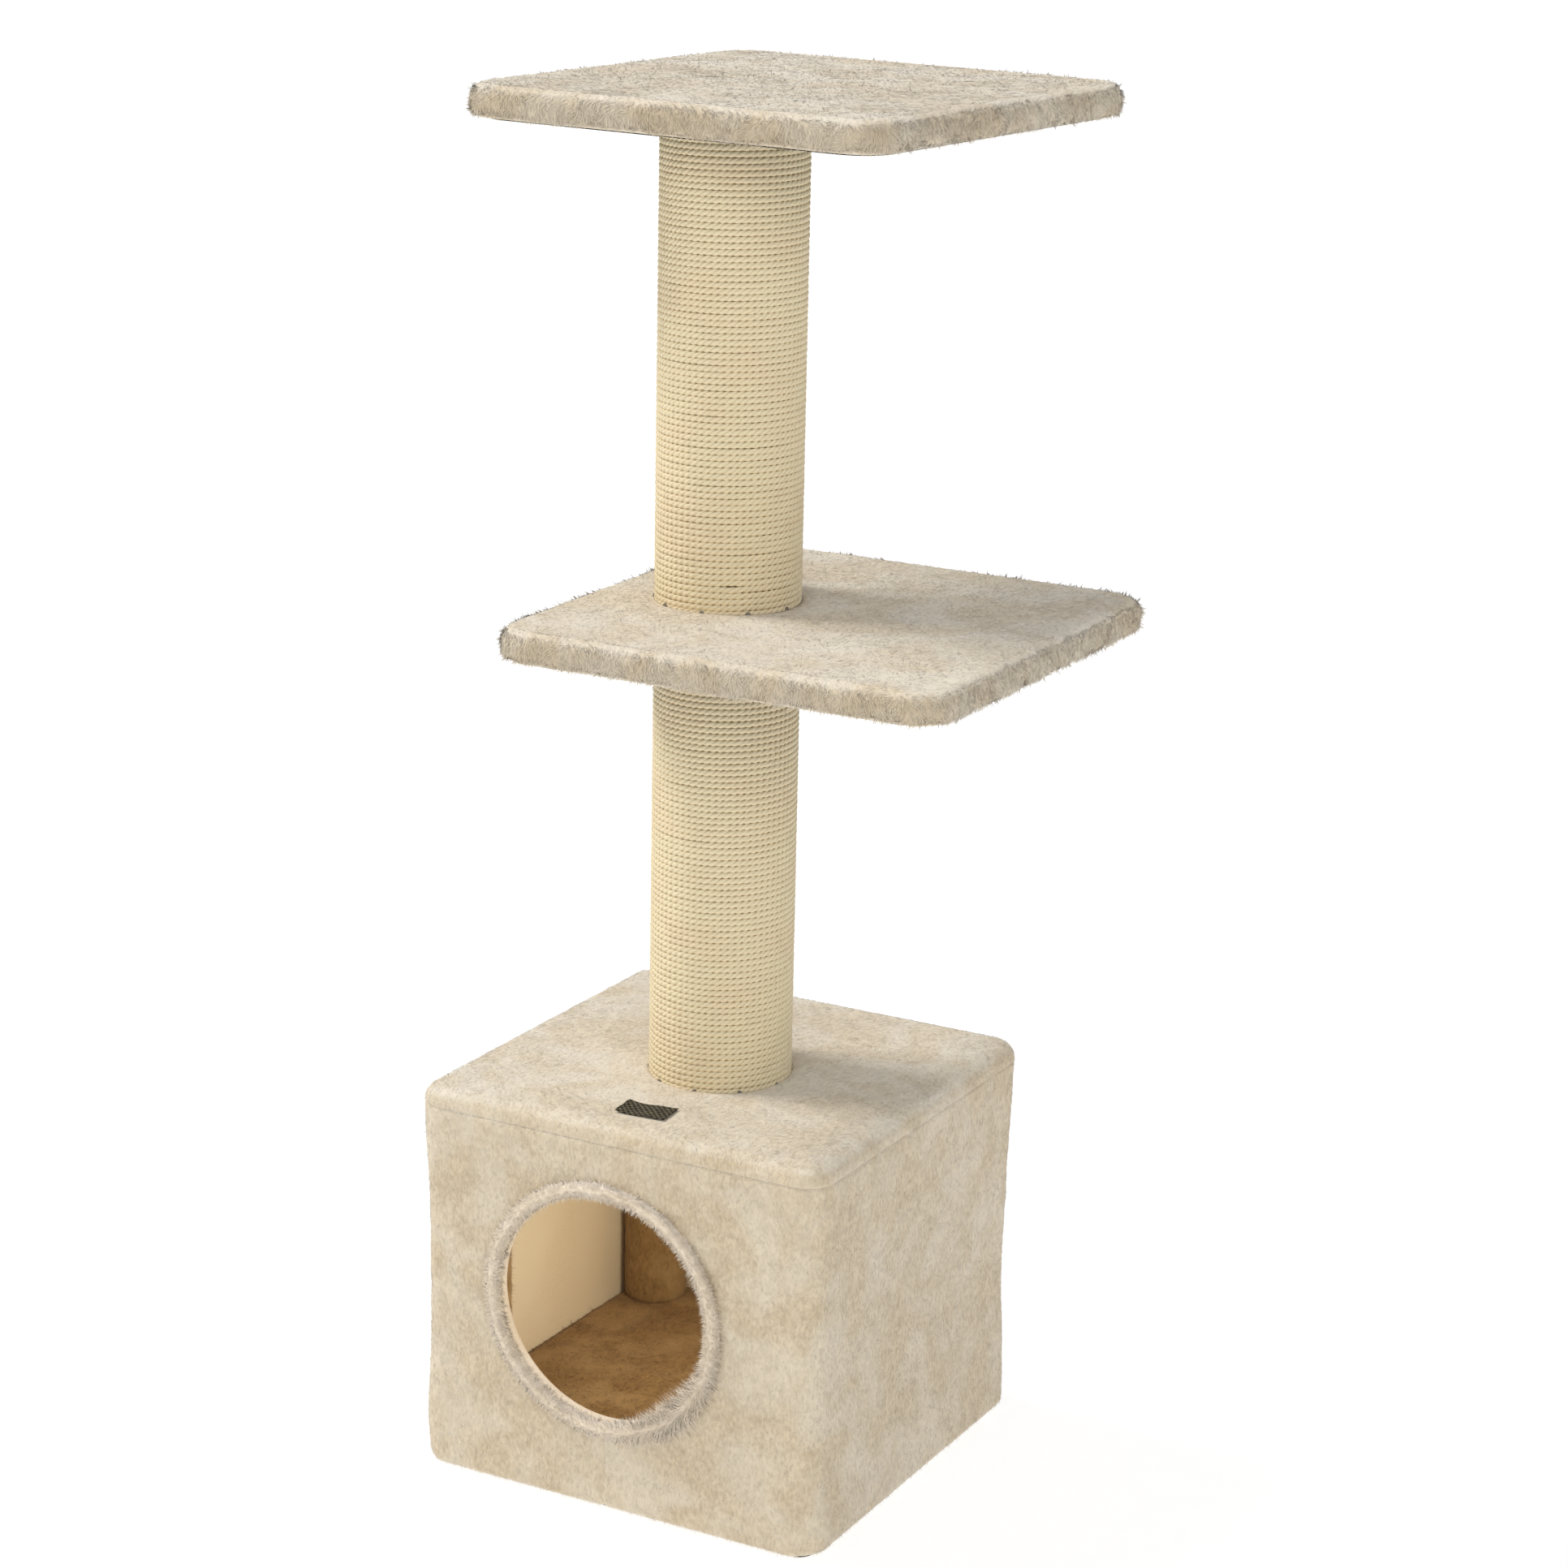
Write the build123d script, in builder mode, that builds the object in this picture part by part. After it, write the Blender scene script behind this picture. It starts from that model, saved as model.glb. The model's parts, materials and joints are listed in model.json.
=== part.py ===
"""Cat tree: a plush-covered house that carries two sisal posts and two offset platforms.

The frame is +Z up, with the front (doorway) side facing -Y and the origin at the middle of the
base, on the floor. Everything is in millimetres.
"""

import os

from build123d import *

os.makedirs("parts", exist_ok=True)

# House
house_width = 312.0  # along X, over the plush
house_depth = 304.0  # along Y, over the plush
house_height = 278.0  # floor to the top of the plush
house_corner = 20.0  # corner radius in plan, over the plush
wall_thickness = 3.0  # bent hardboard
base_board_thickness = 20.0
top_board_thickness = 15.0
floor_mat_thickness = 9.0
top_cover_skirt = 13.0  # how far the top panel comes down the side before its seam
top_edge_radius = 11.5
base_edge_radius = 6.0

# Cloth
plush = 5.0  # plush over a board or a wall
pressed_plush = 2.0  # plush squeezed under the end of a post
hem_thickness = 2.0  # plush turned under a board
hem_width = 26.0
sheet_thickness = 1.0  # backing sheet under the base and the platforms
sheet_inset = 9.0  # from the outside of the base to the edge of its sheet

# Doorway
door_x = -6.0
door_z = 147.0
door_radius = 81.0  # clear radius inside the trim
trim_thickness = 4.0  # plush roll around the edge of the hole
trim_bead_width = 9.0  # radial width of the roll on the outside
trim_lip_width = 8.0  # radial width of the roll on the inside
trim_bead_height = 5.0
trim_lip_height = 3.0
trim_rounding = 2.2

# Corner pillars inside the house
pillar_radius = 19.0
pillar_sleeve = 4.0
pillar_gap = 0.3  # between a sleeve and the two walls it stands against, and around a core in the mat

# Woven label on the top of the house
label_length = 36.0
label_width = 22.0
label_thickness = 0.8
label_x = 5.0
label_y = -115.0
label_turn = 4.0

# Posts
post_x = 3.0
post_y = -13.0
post_length = 315.0
tube_radius = 45.0
tube_wall = 5.0
plug_thickness = 20.0
rope_thickness = 4.0
rope_groove = 1.4  # depth of the groove between two turns
rope_pitch = 4.15  # wanted; the real one divides the post into whole turns
seat_gap = 1.0  # around a post where it stands in the plush or passes a backing sheet

# Platforms
platform_size = 325.0  # both ways, over the plush
platform_board_thickness = 15.0
platform_corner_radius = 30.0
platform_top_rounding = 10.0
platform_hem_rounding = 7.0
platform_offset = 75.0  # from the post's axis to the middle of the platform
platform_sheet_inset = 10.0
middle_platform_direction = 0.0  # which way each platform reaches, in degrees from +X
top_platform_direction = 85.0

# Fasteners
bolt_radius = 3.95
bolt_hole_radius = 4.2
insert_radius = 6.0
insert_bore = 4.0
house_bolt_length = 50.0
stud_overlap = 26.0  # how far the stud reaches into each post
top_bolt_length = 42.0
bolt_head_flats = 13.0
bolt_head_height = 5.3
washer_radius = 15.0
washer_thickness = 2.0
carriage_head_radius = 10.0
carriage_head_height = 3.0
screw_radius = 2.0
screw_head_radius = 4.0
screw_depth = 18.0  # into a pillar
fit_gap = 0.05  # around a screw, a bolt, a nail or a staple in its hole
tack_count = 10
tack_start = 27.0  # direction of the first nail, in degrees from +X
tack_radius = 0.6
tack_head_radius = 1.6
tack_head_height = 0.8
tack_length = 13.0
staple_crown = 10.0
staple_wire = 1.0
staple_leg = 8.0
staple_spacing = 48.0
staple_inset = 17.0  # from the outside of the plush to the row of staples

# Heights and places that follow from the sizes above
base_board_z = sheet_thickness + hem_thickness
floor_z = base_board_z + base_board_thickness
mat_top_z = floor_z + floor_mat_thickness
wall_top_z = house_height - plush
ceiling_z = wall_top_z - top_board_thickness
seam_z = house_height - top_cover_skirt

wall_width = house_width - 2 * plush
wall_depth = house_depth - 2 * plush
room_width = wall_width - 2 * wall_thickness
room_depth = wall_depth - 2 * wall_thickness
wall_corner = house_corner - plush
room_corner = wall_corner - wall_thickness
sleeve_radius = pillar_radius + pillar_sleeve
pillar_span_x = room_width - 2 * (sleeve_radius + pillar_gap)
pillar_span_y = room_depth - 2 * (sleeve_radius + pillar_gap)

rope_radius = tube_radius + rope_thickness
rope_turns = round(post_length / rope_pitch)
turn_height = post_length / rope_turns
seat_radius = rope_radius + seat_gap
tack_z = turn_height / 2

lower_foot_z = wall_top_z + pressed_plush
middle_board_z = lower_foot_z + post_length
upper_foot_z = middle_board_z + platform_board_thickness + pressed_plush
top_board_z = upper_foot_z + post_length
board_size = platform_size - 2 * plush
board_corner = platform_corner_radius - plush
trim_radius = door_radius + trim_thickness


# ---- Fasteners that are used more than once ----


def wood_screw(length):
    """A countersunk screw along -Z, with the flat of its head at the origin."""
    with BuildPart() as screw:
        with BuildSketch(Plane.XZ):
            with BuildLine():
                Polyline(
                    (0, 0),
                    (screw_head_radius, 0),
                    (screw_radius, screw_radius - screw_head_radius),
                    (screw_radius, screw_radius - length),
                    (0, -length),
                    close=True,
                )
            make_face()
        revolve(axis=Axis.Z)
    return screw.part


def staple():
    """A staple with its crown along Y in the plane Z = 0 and its legs up."""
    with BuildPart() as wire:
        Box(staple_wire, staple_crown, sheet_thickness, align=(Align.CENTER, Align.CENTER, Align.MIN))
        with Locations((0, 0, sheet_thickness)):
            with GridLocations(0, staple_crown - staple_wire, 1, 2):
                Box(
                    staple_wire,
                    staple_wire,
                    staple_leg,
                    align=(Align.CENTER, Align.CENTER, Align.MIN),
                )
    return wire.part


def staple_rows(plane, width, depth):
    """Staples around a rectangle, a little inside its edge, driven along the plane's normal."""
    one = staple()
    turned = one.rotate(Axis.Z, 90)
    across = int((width - 2 * staple_inset - staple_crown) / staple_spacing)
    along = int((depth - 2 * staple_inset - staple_crown) / staple_spacing)
    with BuildPart(plane) as rows:
        with GridLocations(width - 2 * staple_inset, staple_spacing, 2, along):
            add(one)
        with GridLocations(staple_spacing, depth - 2 * staple_inset, across, 2):
            add(turned)
    return rows.part


base_screw = wood_screw(base_board_thickness + screw_depth)
top_screw = wood_screw(top_board_thickness + screw_depth)
underside = Plane(origin=(0, 0, base_board_z), x_dir=(1, 0, 0), z_dir=(0, 0, -1))


# ---- Base ----

base_staples = staple_rows(Plane.XY, house_width, house_depth)
base_staples.label = "base_staples"
export_step(base_staples, "parts/base_staples.step")

with BuildPart() as base_sheet:
    with BuildSketch():
        RectangleRounded(
            house_width - 2 * sheet_inset, house_depth - 2 * sheet_inset, house_corner - sheet_inset
        )
    extrude(amount=sheet_thickness)
    add(base_staples, mode=Mode.SUBTRACT)
base_sheet.part.label = "base_sheet"
export_step(base_sheet.part, "parts/base_sheet.step")

with BuildPart() as base_board:
    with BuildSketch(Plane.XY.offset(base_board_z)):
        RectangleRounded(room_width, room_depth, room_corner)
    extrude(amount=base_board_thickness)
    with Locations(underside):
        with GridLocations(pillar_span_x, pillar_span_y, 2, 2):
            CounterSinkHole(screw_radius + fit_gap, screw_head_radius + fit_gap)
    add(base_staples, mode=Mode.SUBTRACT)
base_board.part.label = "base_board"
export_step(base_board.part, "parts/base_board.step")

with BuildPart() as base_screws:
    with Locations(underside):
        with GridLocations(pillar_span_x, pillar_span_y, 2, 2):
            add(base_screw)
base_screws.part.label = "base_screws"
export_step(base_screws.part, "parts/base_screws.step")

with BuildPart() as floor_mat:
    with BuildSketch(Plane.XY.offset(floor_z)):
        RectangleRounded(room_width, room_depth, room_corner)
        with GridLocations(pillar_span_x, pillar_span_y, 2, 2):
            Circle(pillar_radius + pillar_gap, mode=Mode.SUBTRACT)
    extrude(amount=floor_mat_thickness)
floor_mat.part.label = "floor_mat"
export_step(floor_mat.part, "parts/floor_mat.step")


# ---- Corner pillars: a round core between the two boards, in a plush sleeve ----

pillars = {
    "front_left": (-pillar_span_x / 2, -pillar_span_y / 2),
    "front_right": (pillar_span_x / 2, -pillar_span_y / 2),
    "back_left": (-pillar_span_x / 2, pillar_span_y / 2),
    "back_right": (pillar_span_x / 2, pillar_span_y / 2),
}
for corner, (pillar_x, pillar_y) in pillars.items():
    with BuildPart() as pillar:
        with BuildSketch(Plane((pillar_x, pillar_y, floor_z))):
            Circle(pillar_radius)
        extrude(amount=ceiling_z - floor_z)
        with Locations((pillar_x, pillar_y, floor_z), (pillar_x, pillar_y, ceiling_z)):
            Cylinder(screw_radius + fit_gap, 2 * (screw_depth + fit_gap), mode=Mode.SUBTRACT)
    pillar.part.label = f"pillar_{corner}"
    export_step(pillar.part, f"parts/pillar_{corner}.step")

    with BuildPart() as sleeve:
        with BuildSketch(Plane((pillar_x, pillar_y, mat_top_z))):
            Circle(sleeve_radius)
            Circle(pillar_radius, mode=Mode.SUBTRACT)
        extrude(amount=ceiling_z - mat_top_z)
    sleeve.part.label = f"pillar_sleeve_{corner}"
    export_step(sleeve.part, f"parts/pillar_sleeve_{corner}.step")


# ---- House walls ----

door_plane = Plane(
    origin=(door_x, -house_depth / 2, door_z), x_dir=(1, 0, 0), z_dir=(0, -1, 0)
)
door_depth = plush + wall_thickness + 1

with BuildPart() as wall_panel:
    with BuildSketch(Plane.XY.offset(base_board_z)):
        RectangleRounded(wall_width, wall_depth, wall_corner)
        RectangleRounded(room_width, room_depth, room_corner, mode=Mode.SUBTRACT)
    extrude(amount=wall_top_z - base_board_z)
    with BuildSketch(door_plane):
        Circle(trim_radius)
    extrude(amount=-door_depth, mode=Mode.SUBTRACT)
wall_panel.part.label = "wall_panel"
export_step(wall_panel.part, "parts/wall_panel.step")

with BuildPart() as house_side_cover:
    with BuildSketch(Plane.XY.offset(sheet_thickness)):
        RectangleRounded(house_width, house_depth, house_corner)
    extrude(amount=seam_z - sheet_thickness)
    fillet(house_side_cover.edges().group_by(Axis.Z)[0], base_edge_radius)
    with BuildSketch(Plane.XY.offset(base_board_z)):
        RectangleRounded(wall_width, wall_depth, wall_corner)
    extrude(amount=seam_z - base_board_z, mode=Mode.SUBTRACT)
    with BuildSketch(Plane.XY.offset(sheet_thickness)):
        Rectangle(house_width - 2 * hem_width, house_depth - 2 * hem_width)
    extrude(amount=hem_thickness, mode=Mode.SUBTRACT)
    with BuildSketch(door_plane):
        Circle(trim_radius)
    extrude(amount=-door_depth, mode=Mode.SUBTRACT)
    add(base_staples, mode=Mode.SUBTRACT)
house_side_cover.part.label = "house_side_cover"
export_step(house_side_cover.part, "parts/house_side_cover.step")

# The trim is a plush roll that wraps the edge of the hole: a bead outside and a lip inside.
with BuildPart() as doorway_trim:
    with BuildSketch(Plane((door_x, 0, door_z), x_dir=(1, 0, 0), z_dir=(0, 0, 1))):
        with BuildLine():
            Polyline(
                (door_radius, -house_depth / 2 - trim_bead_height),
                (door_radius + trim_bead_width, -house_depth / 2 - trim_bead_height),
                (door_radius + trim_bead_width, -house_depth / 2),
                (trim_radius, -house_depth / 2),
                (trim_radius, -room_depth / 2),
                (door_radius + trim_lip_width, -room_depth / 2),
                (door_radius + trim_lip_width, -room_depth / 2 + trim_lip_height),
                (door_radius, -room_depth / 2 + trim_lip_height),
                close=True,
            )
        make_face()
    revolve(axis=Axis((door_x, 0, door_z), (0, 1, 0)))
    bead_edges = doorway_trim.edges().group_by(Axis.Y)[0]
    fillet(bead_edges, trim_rounding)
doorway_trim.part.label = "doorway_trim"
export_step(doorway_trim.part, "parts/doorway_trim.step")


# ---- House top ----

with BuildPart() as top_board:
    with BuildSketch(Plane.XY.offset(ceiling_z)):
        RectangleRounded(room_width, room_depth, room_corner)
    extrude(amount=top_board_thickness)
    with Locations((0, 0, wall_top_z)):
        with GridLocations(pillar_span_x, pillar_span_y, 2, 2):
            CounterSinkHole(screw_radius + fit_gap, screw_head_radius + fit_gap)
    with Locations((post_x, post_y, wall_top_z)):
        Hole(bolt_hole_radius)
top_board.part.label = "house_top_board"
export_step(top_board.part, "parts/house_top_board.step")

with BuildPart() as top_screws:
    with Locations((0, 0, wall_top_z)):
        with GridLocations(pillar_span_x, pillar_span_y, 2, 2):
            add(top_screw)
top_screws.part.label = "house_top_screws"
export_step(top_screws.part, "parts/house_top_screws.step")

label_plane = Plane((label_x, label_y, house_height - label_thickness)).rotated((0, 0, label_turn))

with BuildPart() as house_top_cover:
    with BuildSketch(Plane.XY.offset(seam_z)):
        RectangleRounded(house_width, house_depth, house_corner)
    extrude(amount=top_cover_skirt)
    fillet(house_top_cover.edges().group_by(Axis.Z)[-1], top_edge_radius)
    with BuildSketch(Plane.XY.offset(seam_z)):
        RectangleRounded(wall_width, wall_depth, wall_corner)
    extrude(amount=wall_top_z - seam_z, mode=Mode.SUBTRACT)
    with BuildSketch(Plane((post_x, post_y, lower_foot_z))):
        Circle(seat_radius)
    extrude(amount=plush - pressed_plush, mode=Mode.SUBTRACT)
    with Locations((post_x, post_y, house_height)):
        Hole(bolt_hole_radius, depth=plush)
    with BuildSketch(label_plane):
        Rectangle(label_length, label_width)
    extrude(amount=label_thickness, mode=Mode.SUBTRACT)
house_top_cover.part.label = "house_top_cover"
export_step(house_top_cover.part, "parts/house_top_cover.step")

with BuildPart() as woven_label:
    with BuildSketch(label_plane):
        Rectangle(label_length, label_width)
    extrude(amount=label_thickness)
woven_label.part.label = "woven_label"
export_step(woven_label.part, "parts/woven_label.step")

with BuildPart() as house_washer:
    with BuildSketch(Plane((post_x, post_y, ceiling_z - washer_thickness))):
        Circle(washer_radius)
        Circle(bolt_hole_radius, mode=Mode.SUBTRACT)
    extrude(amount=washer_thickness)
house_washer.part.label = "house_washer"
export_step(house_washer.part, "parts/house_washer.step")

house_bolt_z = ceiling_z - washer_thickness
with BuildPart() as house_bolt:
    with BuildSketch(Plane((post_x, post_y, house_bolt_z - bolt_head_height))):
        RegularPolygon(bolt_head_flats / 2, 6, major_radius=False)
    extrude(amount=bolt_head_height)
    with BuildSketch(Plane((post_x, post_y, house_bolt_z))):
        Circle(bolt_radius)
    extrude(amount=house_bolt_length)
    chamfer(house_bolt.edges().group_by(Axis.Z)[-1], bolt_radius / 5)
house_bolt.part.label = "house_bolt"
export_step(house_bolt.part, "parts/house_bolt.step")


# ---- Posts: a cardboard tube with a plug in each end, wound with rope that nails hold ----

for post, foot_z in {"lower": lower_foot_z, "upper": upper_foot_z}.items():
    post_plane = Plane((post_x, post_y, foot_z))
    head_z = foot_z + post_length
    post_axis = Axis((post_x, post_y, foot_z), (0, 0, 1))
    nail_rings = (foot_z + tack_z, head_z - tack_z)

    # Nails point inwards, with their heads on the outermost line of the first and the last turn.
    with BuildPart() as rope_tacks:
        for ring_z in nail_rings:
            with Locations(Plane((post_x, post_y, ring_z))):
                with PolarLocations(rope_radius - tack_length / 2, tack_count, tack_start):
                    Cylinder(tack_radius, tack_length, rotation=(0, 90, 0))
                with PolarLocations(rope_radius + tack_head_height / 2, tack_count, tack_start):
                    Cylinder(tack_head_radius, tack_head_height, rotation=(0, 90, 0))
    rope_tacks.part.label = f"{post}_rope_tacks"
    export_step(rope_tacks.part, f"parts/{post}_rope_tacks.step")

    with BuildPart() as nail_holes:
        for ring_z in nail_rings:
            with Locations(Plane((post_x, post_y, ring_z))):
                with PolarLocations(rope_radius - tack_length / 2, tack_count, tack_start):
                    Cylinder(
                        tack_radius + fit_gap, tack_length + tack_head_radius, rotation=(0, 90, 0)
                    )

    with BuildPart() as tube:
        with BuildSketch(post_plane):
            Circle(tube_radius)
            Circle(tube_radius - tube_wall, mode=Mode.SUBTRACT)
        extrude(amount=post_length)
        add(nail_holes.part, mode=Mode.SUBTRACT)
    tube.part.label = f"{post}_post_tube"
    export_step(tube.part, f"parts/{post}_post_tube.step")

    for end, plug_z in {"foot": foot_z, "head": head_z - plug_thickness}.items():
        with BuildPart() as plug:
            with BuildSketch(Plane((post_x, post_y, plug_z))):
                Circle(tube_radius - tube_wall)
                Circle(insert_radius, mode=Mode.SUBTRACT)
            extrude(amount=plug_thickness)
            add(nail_holes.part, mode=Mode.SUBTRACT)
        plug.part.label = f"{post}_post_{end}_plug"
        export_step(plug.part, f"parts/{post}_post_{end}_plug.step")

        with BuildPart() as insert:
            with BuildSketch(Plane((post_x, post_y, plug_z))):
                Circle(insert_radius)
                Circle(insert_bore, mode=Mode.SUBTRACT)
            extrude(amount=plug_thickness)
        insert.part.label = f"{post}_post_{end}_insert"
        export_step(insert.part, f"parts/{post}_post_{end}_insert.step")

    # The winding is drawn as touching rings, one for each turn.
    with BuildPart() as rope:
        with BuildSketch(Plane(post_plane.origin, x_dir=(1, 0, 0), z_dir=(0, -1, 0))):
            with BuildLine():
                for turn in range(rope_turns):
                    bottom = turn * turn_height
                    ThreePointArc(
                        (rope_radius - rope_groove, bottom),
                        (rope_radius, bottom + turn_height / 2),
                        (rope_radius - rope_groove, bottom + turn_height),
                    )
                Polyline(
                    (rope_radius - rope_groove, post_length),
                    (tube_radius, post_length),
                    (tube_radius, 0),
                    (rope_radius - rope_groove, 0),
                )
            make_face()
        revolve(axis=post_axis)
        add(nail_holes.part, mode=Mode.SUBTRACT)
    rope.part.label = f"{post}_sisal_rope"
    export_step(rope.part, f"parts/{post}_sisal_rope.step")


# ---- Platforms: a board in plush that is turned under and covered by a backing sheet ----

platforms = {
    "middle": (middle_board_z, middle_platform_direction),
    "top": (top_board_z, top_platform_direction),
}
sheet_size = platform_size - 2 * platform_sheet_inset
for level, (board_z, direction) in platforms.items():
    # X of this plane runs from the post's axis to the middle of the platform.
    over_post = Plane((post_x, post_y, board_z)).rotated((0, 0, direction))
    middle = over_post.location * Location((platform_offset, 0, 0))
    board_plane = Plane(middle)
    hem_plane = board_plane.offset(-hem_thickness)
    sheet_plane = hem_plane.offset(-sheet_thickness)
    has_post_above = level == "middle"

    staples = staple_rows(sheet_plane, platform_size, platform_size)
    staples.label = f"{level}_platform_staples"
    export_step(staples, f"parts/{level}_platform_staples.step")

    with BuildPart() as board:
        with BuildSketch(board_plane):
            RectangleRounded(board_size, board_size, board_corner)
        extrude(amount=platform_board_thickness)
        with Locations(over_post.offset(platform_board_thickness)):
            if has_post_above:
                Hole(bolt_hole_radius)
            else:
                CounterBoreHole(
                    bolt_hole_radius, carriage_head_radius + fit_gap, carriage_head_height
                )
        add(staples, mode=Mode.SUBTRACT)
    board.part.label = f"{level}_platform_board"
    export_step(board.part, f"parts/{level}_platform_board.step")

    with BuildPart() as cover:
        with BuildSketch(hem_plane):
            RectangleRounded(platform_size, platform_size, platform_corner_radius)
        extrude(amount=hem_thickness + platform_board_thickness + plush)
        fillet(cover.edges().group_by(Axis.Z)[-1], platform_top_rounding)
        fillet(cover.edges().group_by(Axis.Z)[0], platform_hem_rounding)
        with BuildSketch(board_plane):
            RectangleRounded(board_size, board_size, board_corner)
        extrude(amount=platform_board_thickness, mode=Mode.SUBTRACT)
        with BuildSketch(hem_plane):
            Rectangle(platform_size - 2 * hem_width, platform_size - 2 * hem_width)
        extrude(amount=hem_thickness, mode=Mode.SUBTRACT)
        if has_post_above:
            with BuildSketch(over_post.offset(platform_board_thickness + pressed_plush)):
                Circle(seat_radius)
            extrude(amount=plush - pressed_plush, mode=Mode.SUBTRACT)
            with BuildSketch(over_post.offset(platform_board_thickness)):
                Circle(bolt_hole_radius)
            extrude(amount=plush, mode=Mode.SUBTRACT)
        add(staples, mode=Mode.SUBTRACT)
    cover.part.label = f"{level}_platform_cover"
    export_step(cover.part, f"parts/{level}_platform_cover.step")

    with BuildPart() as sheet:
        with BuildSketch(sheet_plane):
            RectangleRounded(sheet_size, sheet_size, board_corner)
        extrude(amount=sheet_thickness)
        with BuildSketch(over_post.offset(-hem_thickness - sheet_thickness)):
            Circle(seat_radius)
        extrude(amount=sheet_thickness, mode=Mode.SUBTRACT)
        add(staples, mode=Mode.SUBTRACT)
    sheet.part.label = f"{level}_platform_sheet"
    export_step(sheet.part, f"parts/{level}_platform_sheet.step")

# The stud joins the two posts through the middle platform.
stud_length = upper_foot_z - middle_board_z + 2 * stud_overlap
with BuildPart() as middle_stud:
    with BuildSketch(Plane((post_x, post_y, middle_board_z - stud_overlap))):
        Circle(bolt_radius)
    extrude(amount=stud_length)
    chamfer(middle_stud.edges().filter_by(GeomType.CIRCLE), bolt_radius / 5)
middle_stud.part.label = "middle_stud"
export_step(middle_stud.part, "parts/middle_stud.step")

# The bolt hangs from the top board, with its head under the plush.
top_bolt_z = top_board_z + platform_board_thickness
with BuildPart() as top_bolt:
    with BuildSketch(Plane((post_x, post_y, top_bolt_z - carriage_head_height))):
        Circle(carriage_head_radius)
    extrude(amount=carriage_head_height)
    fillet(top_bolt.edges().group_by(Axis.Z)[-1], carriage_head_height * 0.8)
    with BuildSketch(Plane((post_x, post_y, top_bolt_z - carriage_head_height))):
        Circle(bolt_radius)
    extrude(amount=-top_bolt_length)
    chamfer(top_bolt.edges().group_by(Axis.Z)[0], bolt_radius / 5)
top_bolt.part.label = "top_bolt"
export_step(top_bolt.part, "parts/top_bolt.step")
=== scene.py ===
import json
import math

import bpy
import numpy as np
from mathutils import Matrix, Vector, noise

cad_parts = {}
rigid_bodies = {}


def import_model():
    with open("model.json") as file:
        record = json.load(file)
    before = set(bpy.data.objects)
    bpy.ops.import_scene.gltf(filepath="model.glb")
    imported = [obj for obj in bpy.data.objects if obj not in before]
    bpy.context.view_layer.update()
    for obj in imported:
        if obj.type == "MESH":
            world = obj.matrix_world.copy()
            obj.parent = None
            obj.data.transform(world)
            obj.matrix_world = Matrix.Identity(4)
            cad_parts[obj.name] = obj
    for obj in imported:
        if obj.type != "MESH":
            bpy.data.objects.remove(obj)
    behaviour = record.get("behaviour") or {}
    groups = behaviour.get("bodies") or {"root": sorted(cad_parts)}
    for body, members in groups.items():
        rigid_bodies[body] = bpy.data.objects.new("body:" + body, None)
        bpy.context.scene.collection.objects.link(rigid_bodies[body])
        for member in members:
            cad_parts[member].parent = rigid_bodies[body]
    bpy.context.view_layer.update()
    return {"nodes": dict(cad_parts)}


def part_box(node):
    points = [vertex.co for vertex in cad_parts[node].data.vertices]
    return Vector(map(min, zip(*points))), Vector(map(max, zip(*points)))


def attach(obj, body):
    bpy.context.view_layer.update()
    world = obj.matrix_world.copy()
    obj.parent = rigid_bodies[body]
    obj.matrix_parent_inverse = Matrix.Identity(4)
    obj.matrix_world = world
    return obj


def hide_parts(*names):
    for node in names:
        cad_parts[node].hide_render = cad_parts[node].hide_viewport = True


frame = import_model()
scene = bpy.context.scene
print("frame loaded:", len(frame["nodes"]), "nodes")


# places and sizes that come from the frame, in metres
def boxOf(node):
    low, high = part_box(node)
    return Vector(low), Vector(high)


def middleOf(node):
    low, high = boxOf(node)
    return (low + high) / 2


mm = 0.001
sideLow, sideHigh = boxOf("house_side_cover")
lidLow, lidHigh = boxOf("house_top_cover")
wallLow, wallHigh = boxOf("wall_panel")
matLow, matHigh = boxOf("floor_mat")
rollLow, rollHigh = boxOf("doorway_trim")
lowerLow, lowerHigh = boxOf("lower_sisal_rope")
doorMiddle = (rollLow + rollHigh) / 2
rollRadius = (rollHigh.x - rollLow.x) / 2
postMiddle = (lowerLow + lowerHigh) / 2
ropeRadius = (lowerHigh.x - lowerLow.x) / 2
tubeLow, tubeHigh = boxOf("lower_post_tube")
tubeRadius = (tubeHigh.x - tubeLow.x) / 2
labelMiddle = middleOf("woven_label")
labelTurn = math.radians(4.0)
deckLow, deckHigh = boxOf("middle_platform_cover")
deckSize = deckHigh.x - deckLow.x
postClear = 50.5 * mm  # no pile stands nearer to a post's middle
ropeTurns = 76
ropeRidges = 64  # strands that pass in one turn


def noiseAt(points, scale, seed=0.0):
    # smooth noise from -1 to 1 at each point; scale is in bumps per metre
    shift = Vector((seed * 3.1, seed * 7.7, seed * 1.3))
    return np.array([noise.noise(Vector(p) * scale + shift) for p in points.tolist()])


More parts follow.
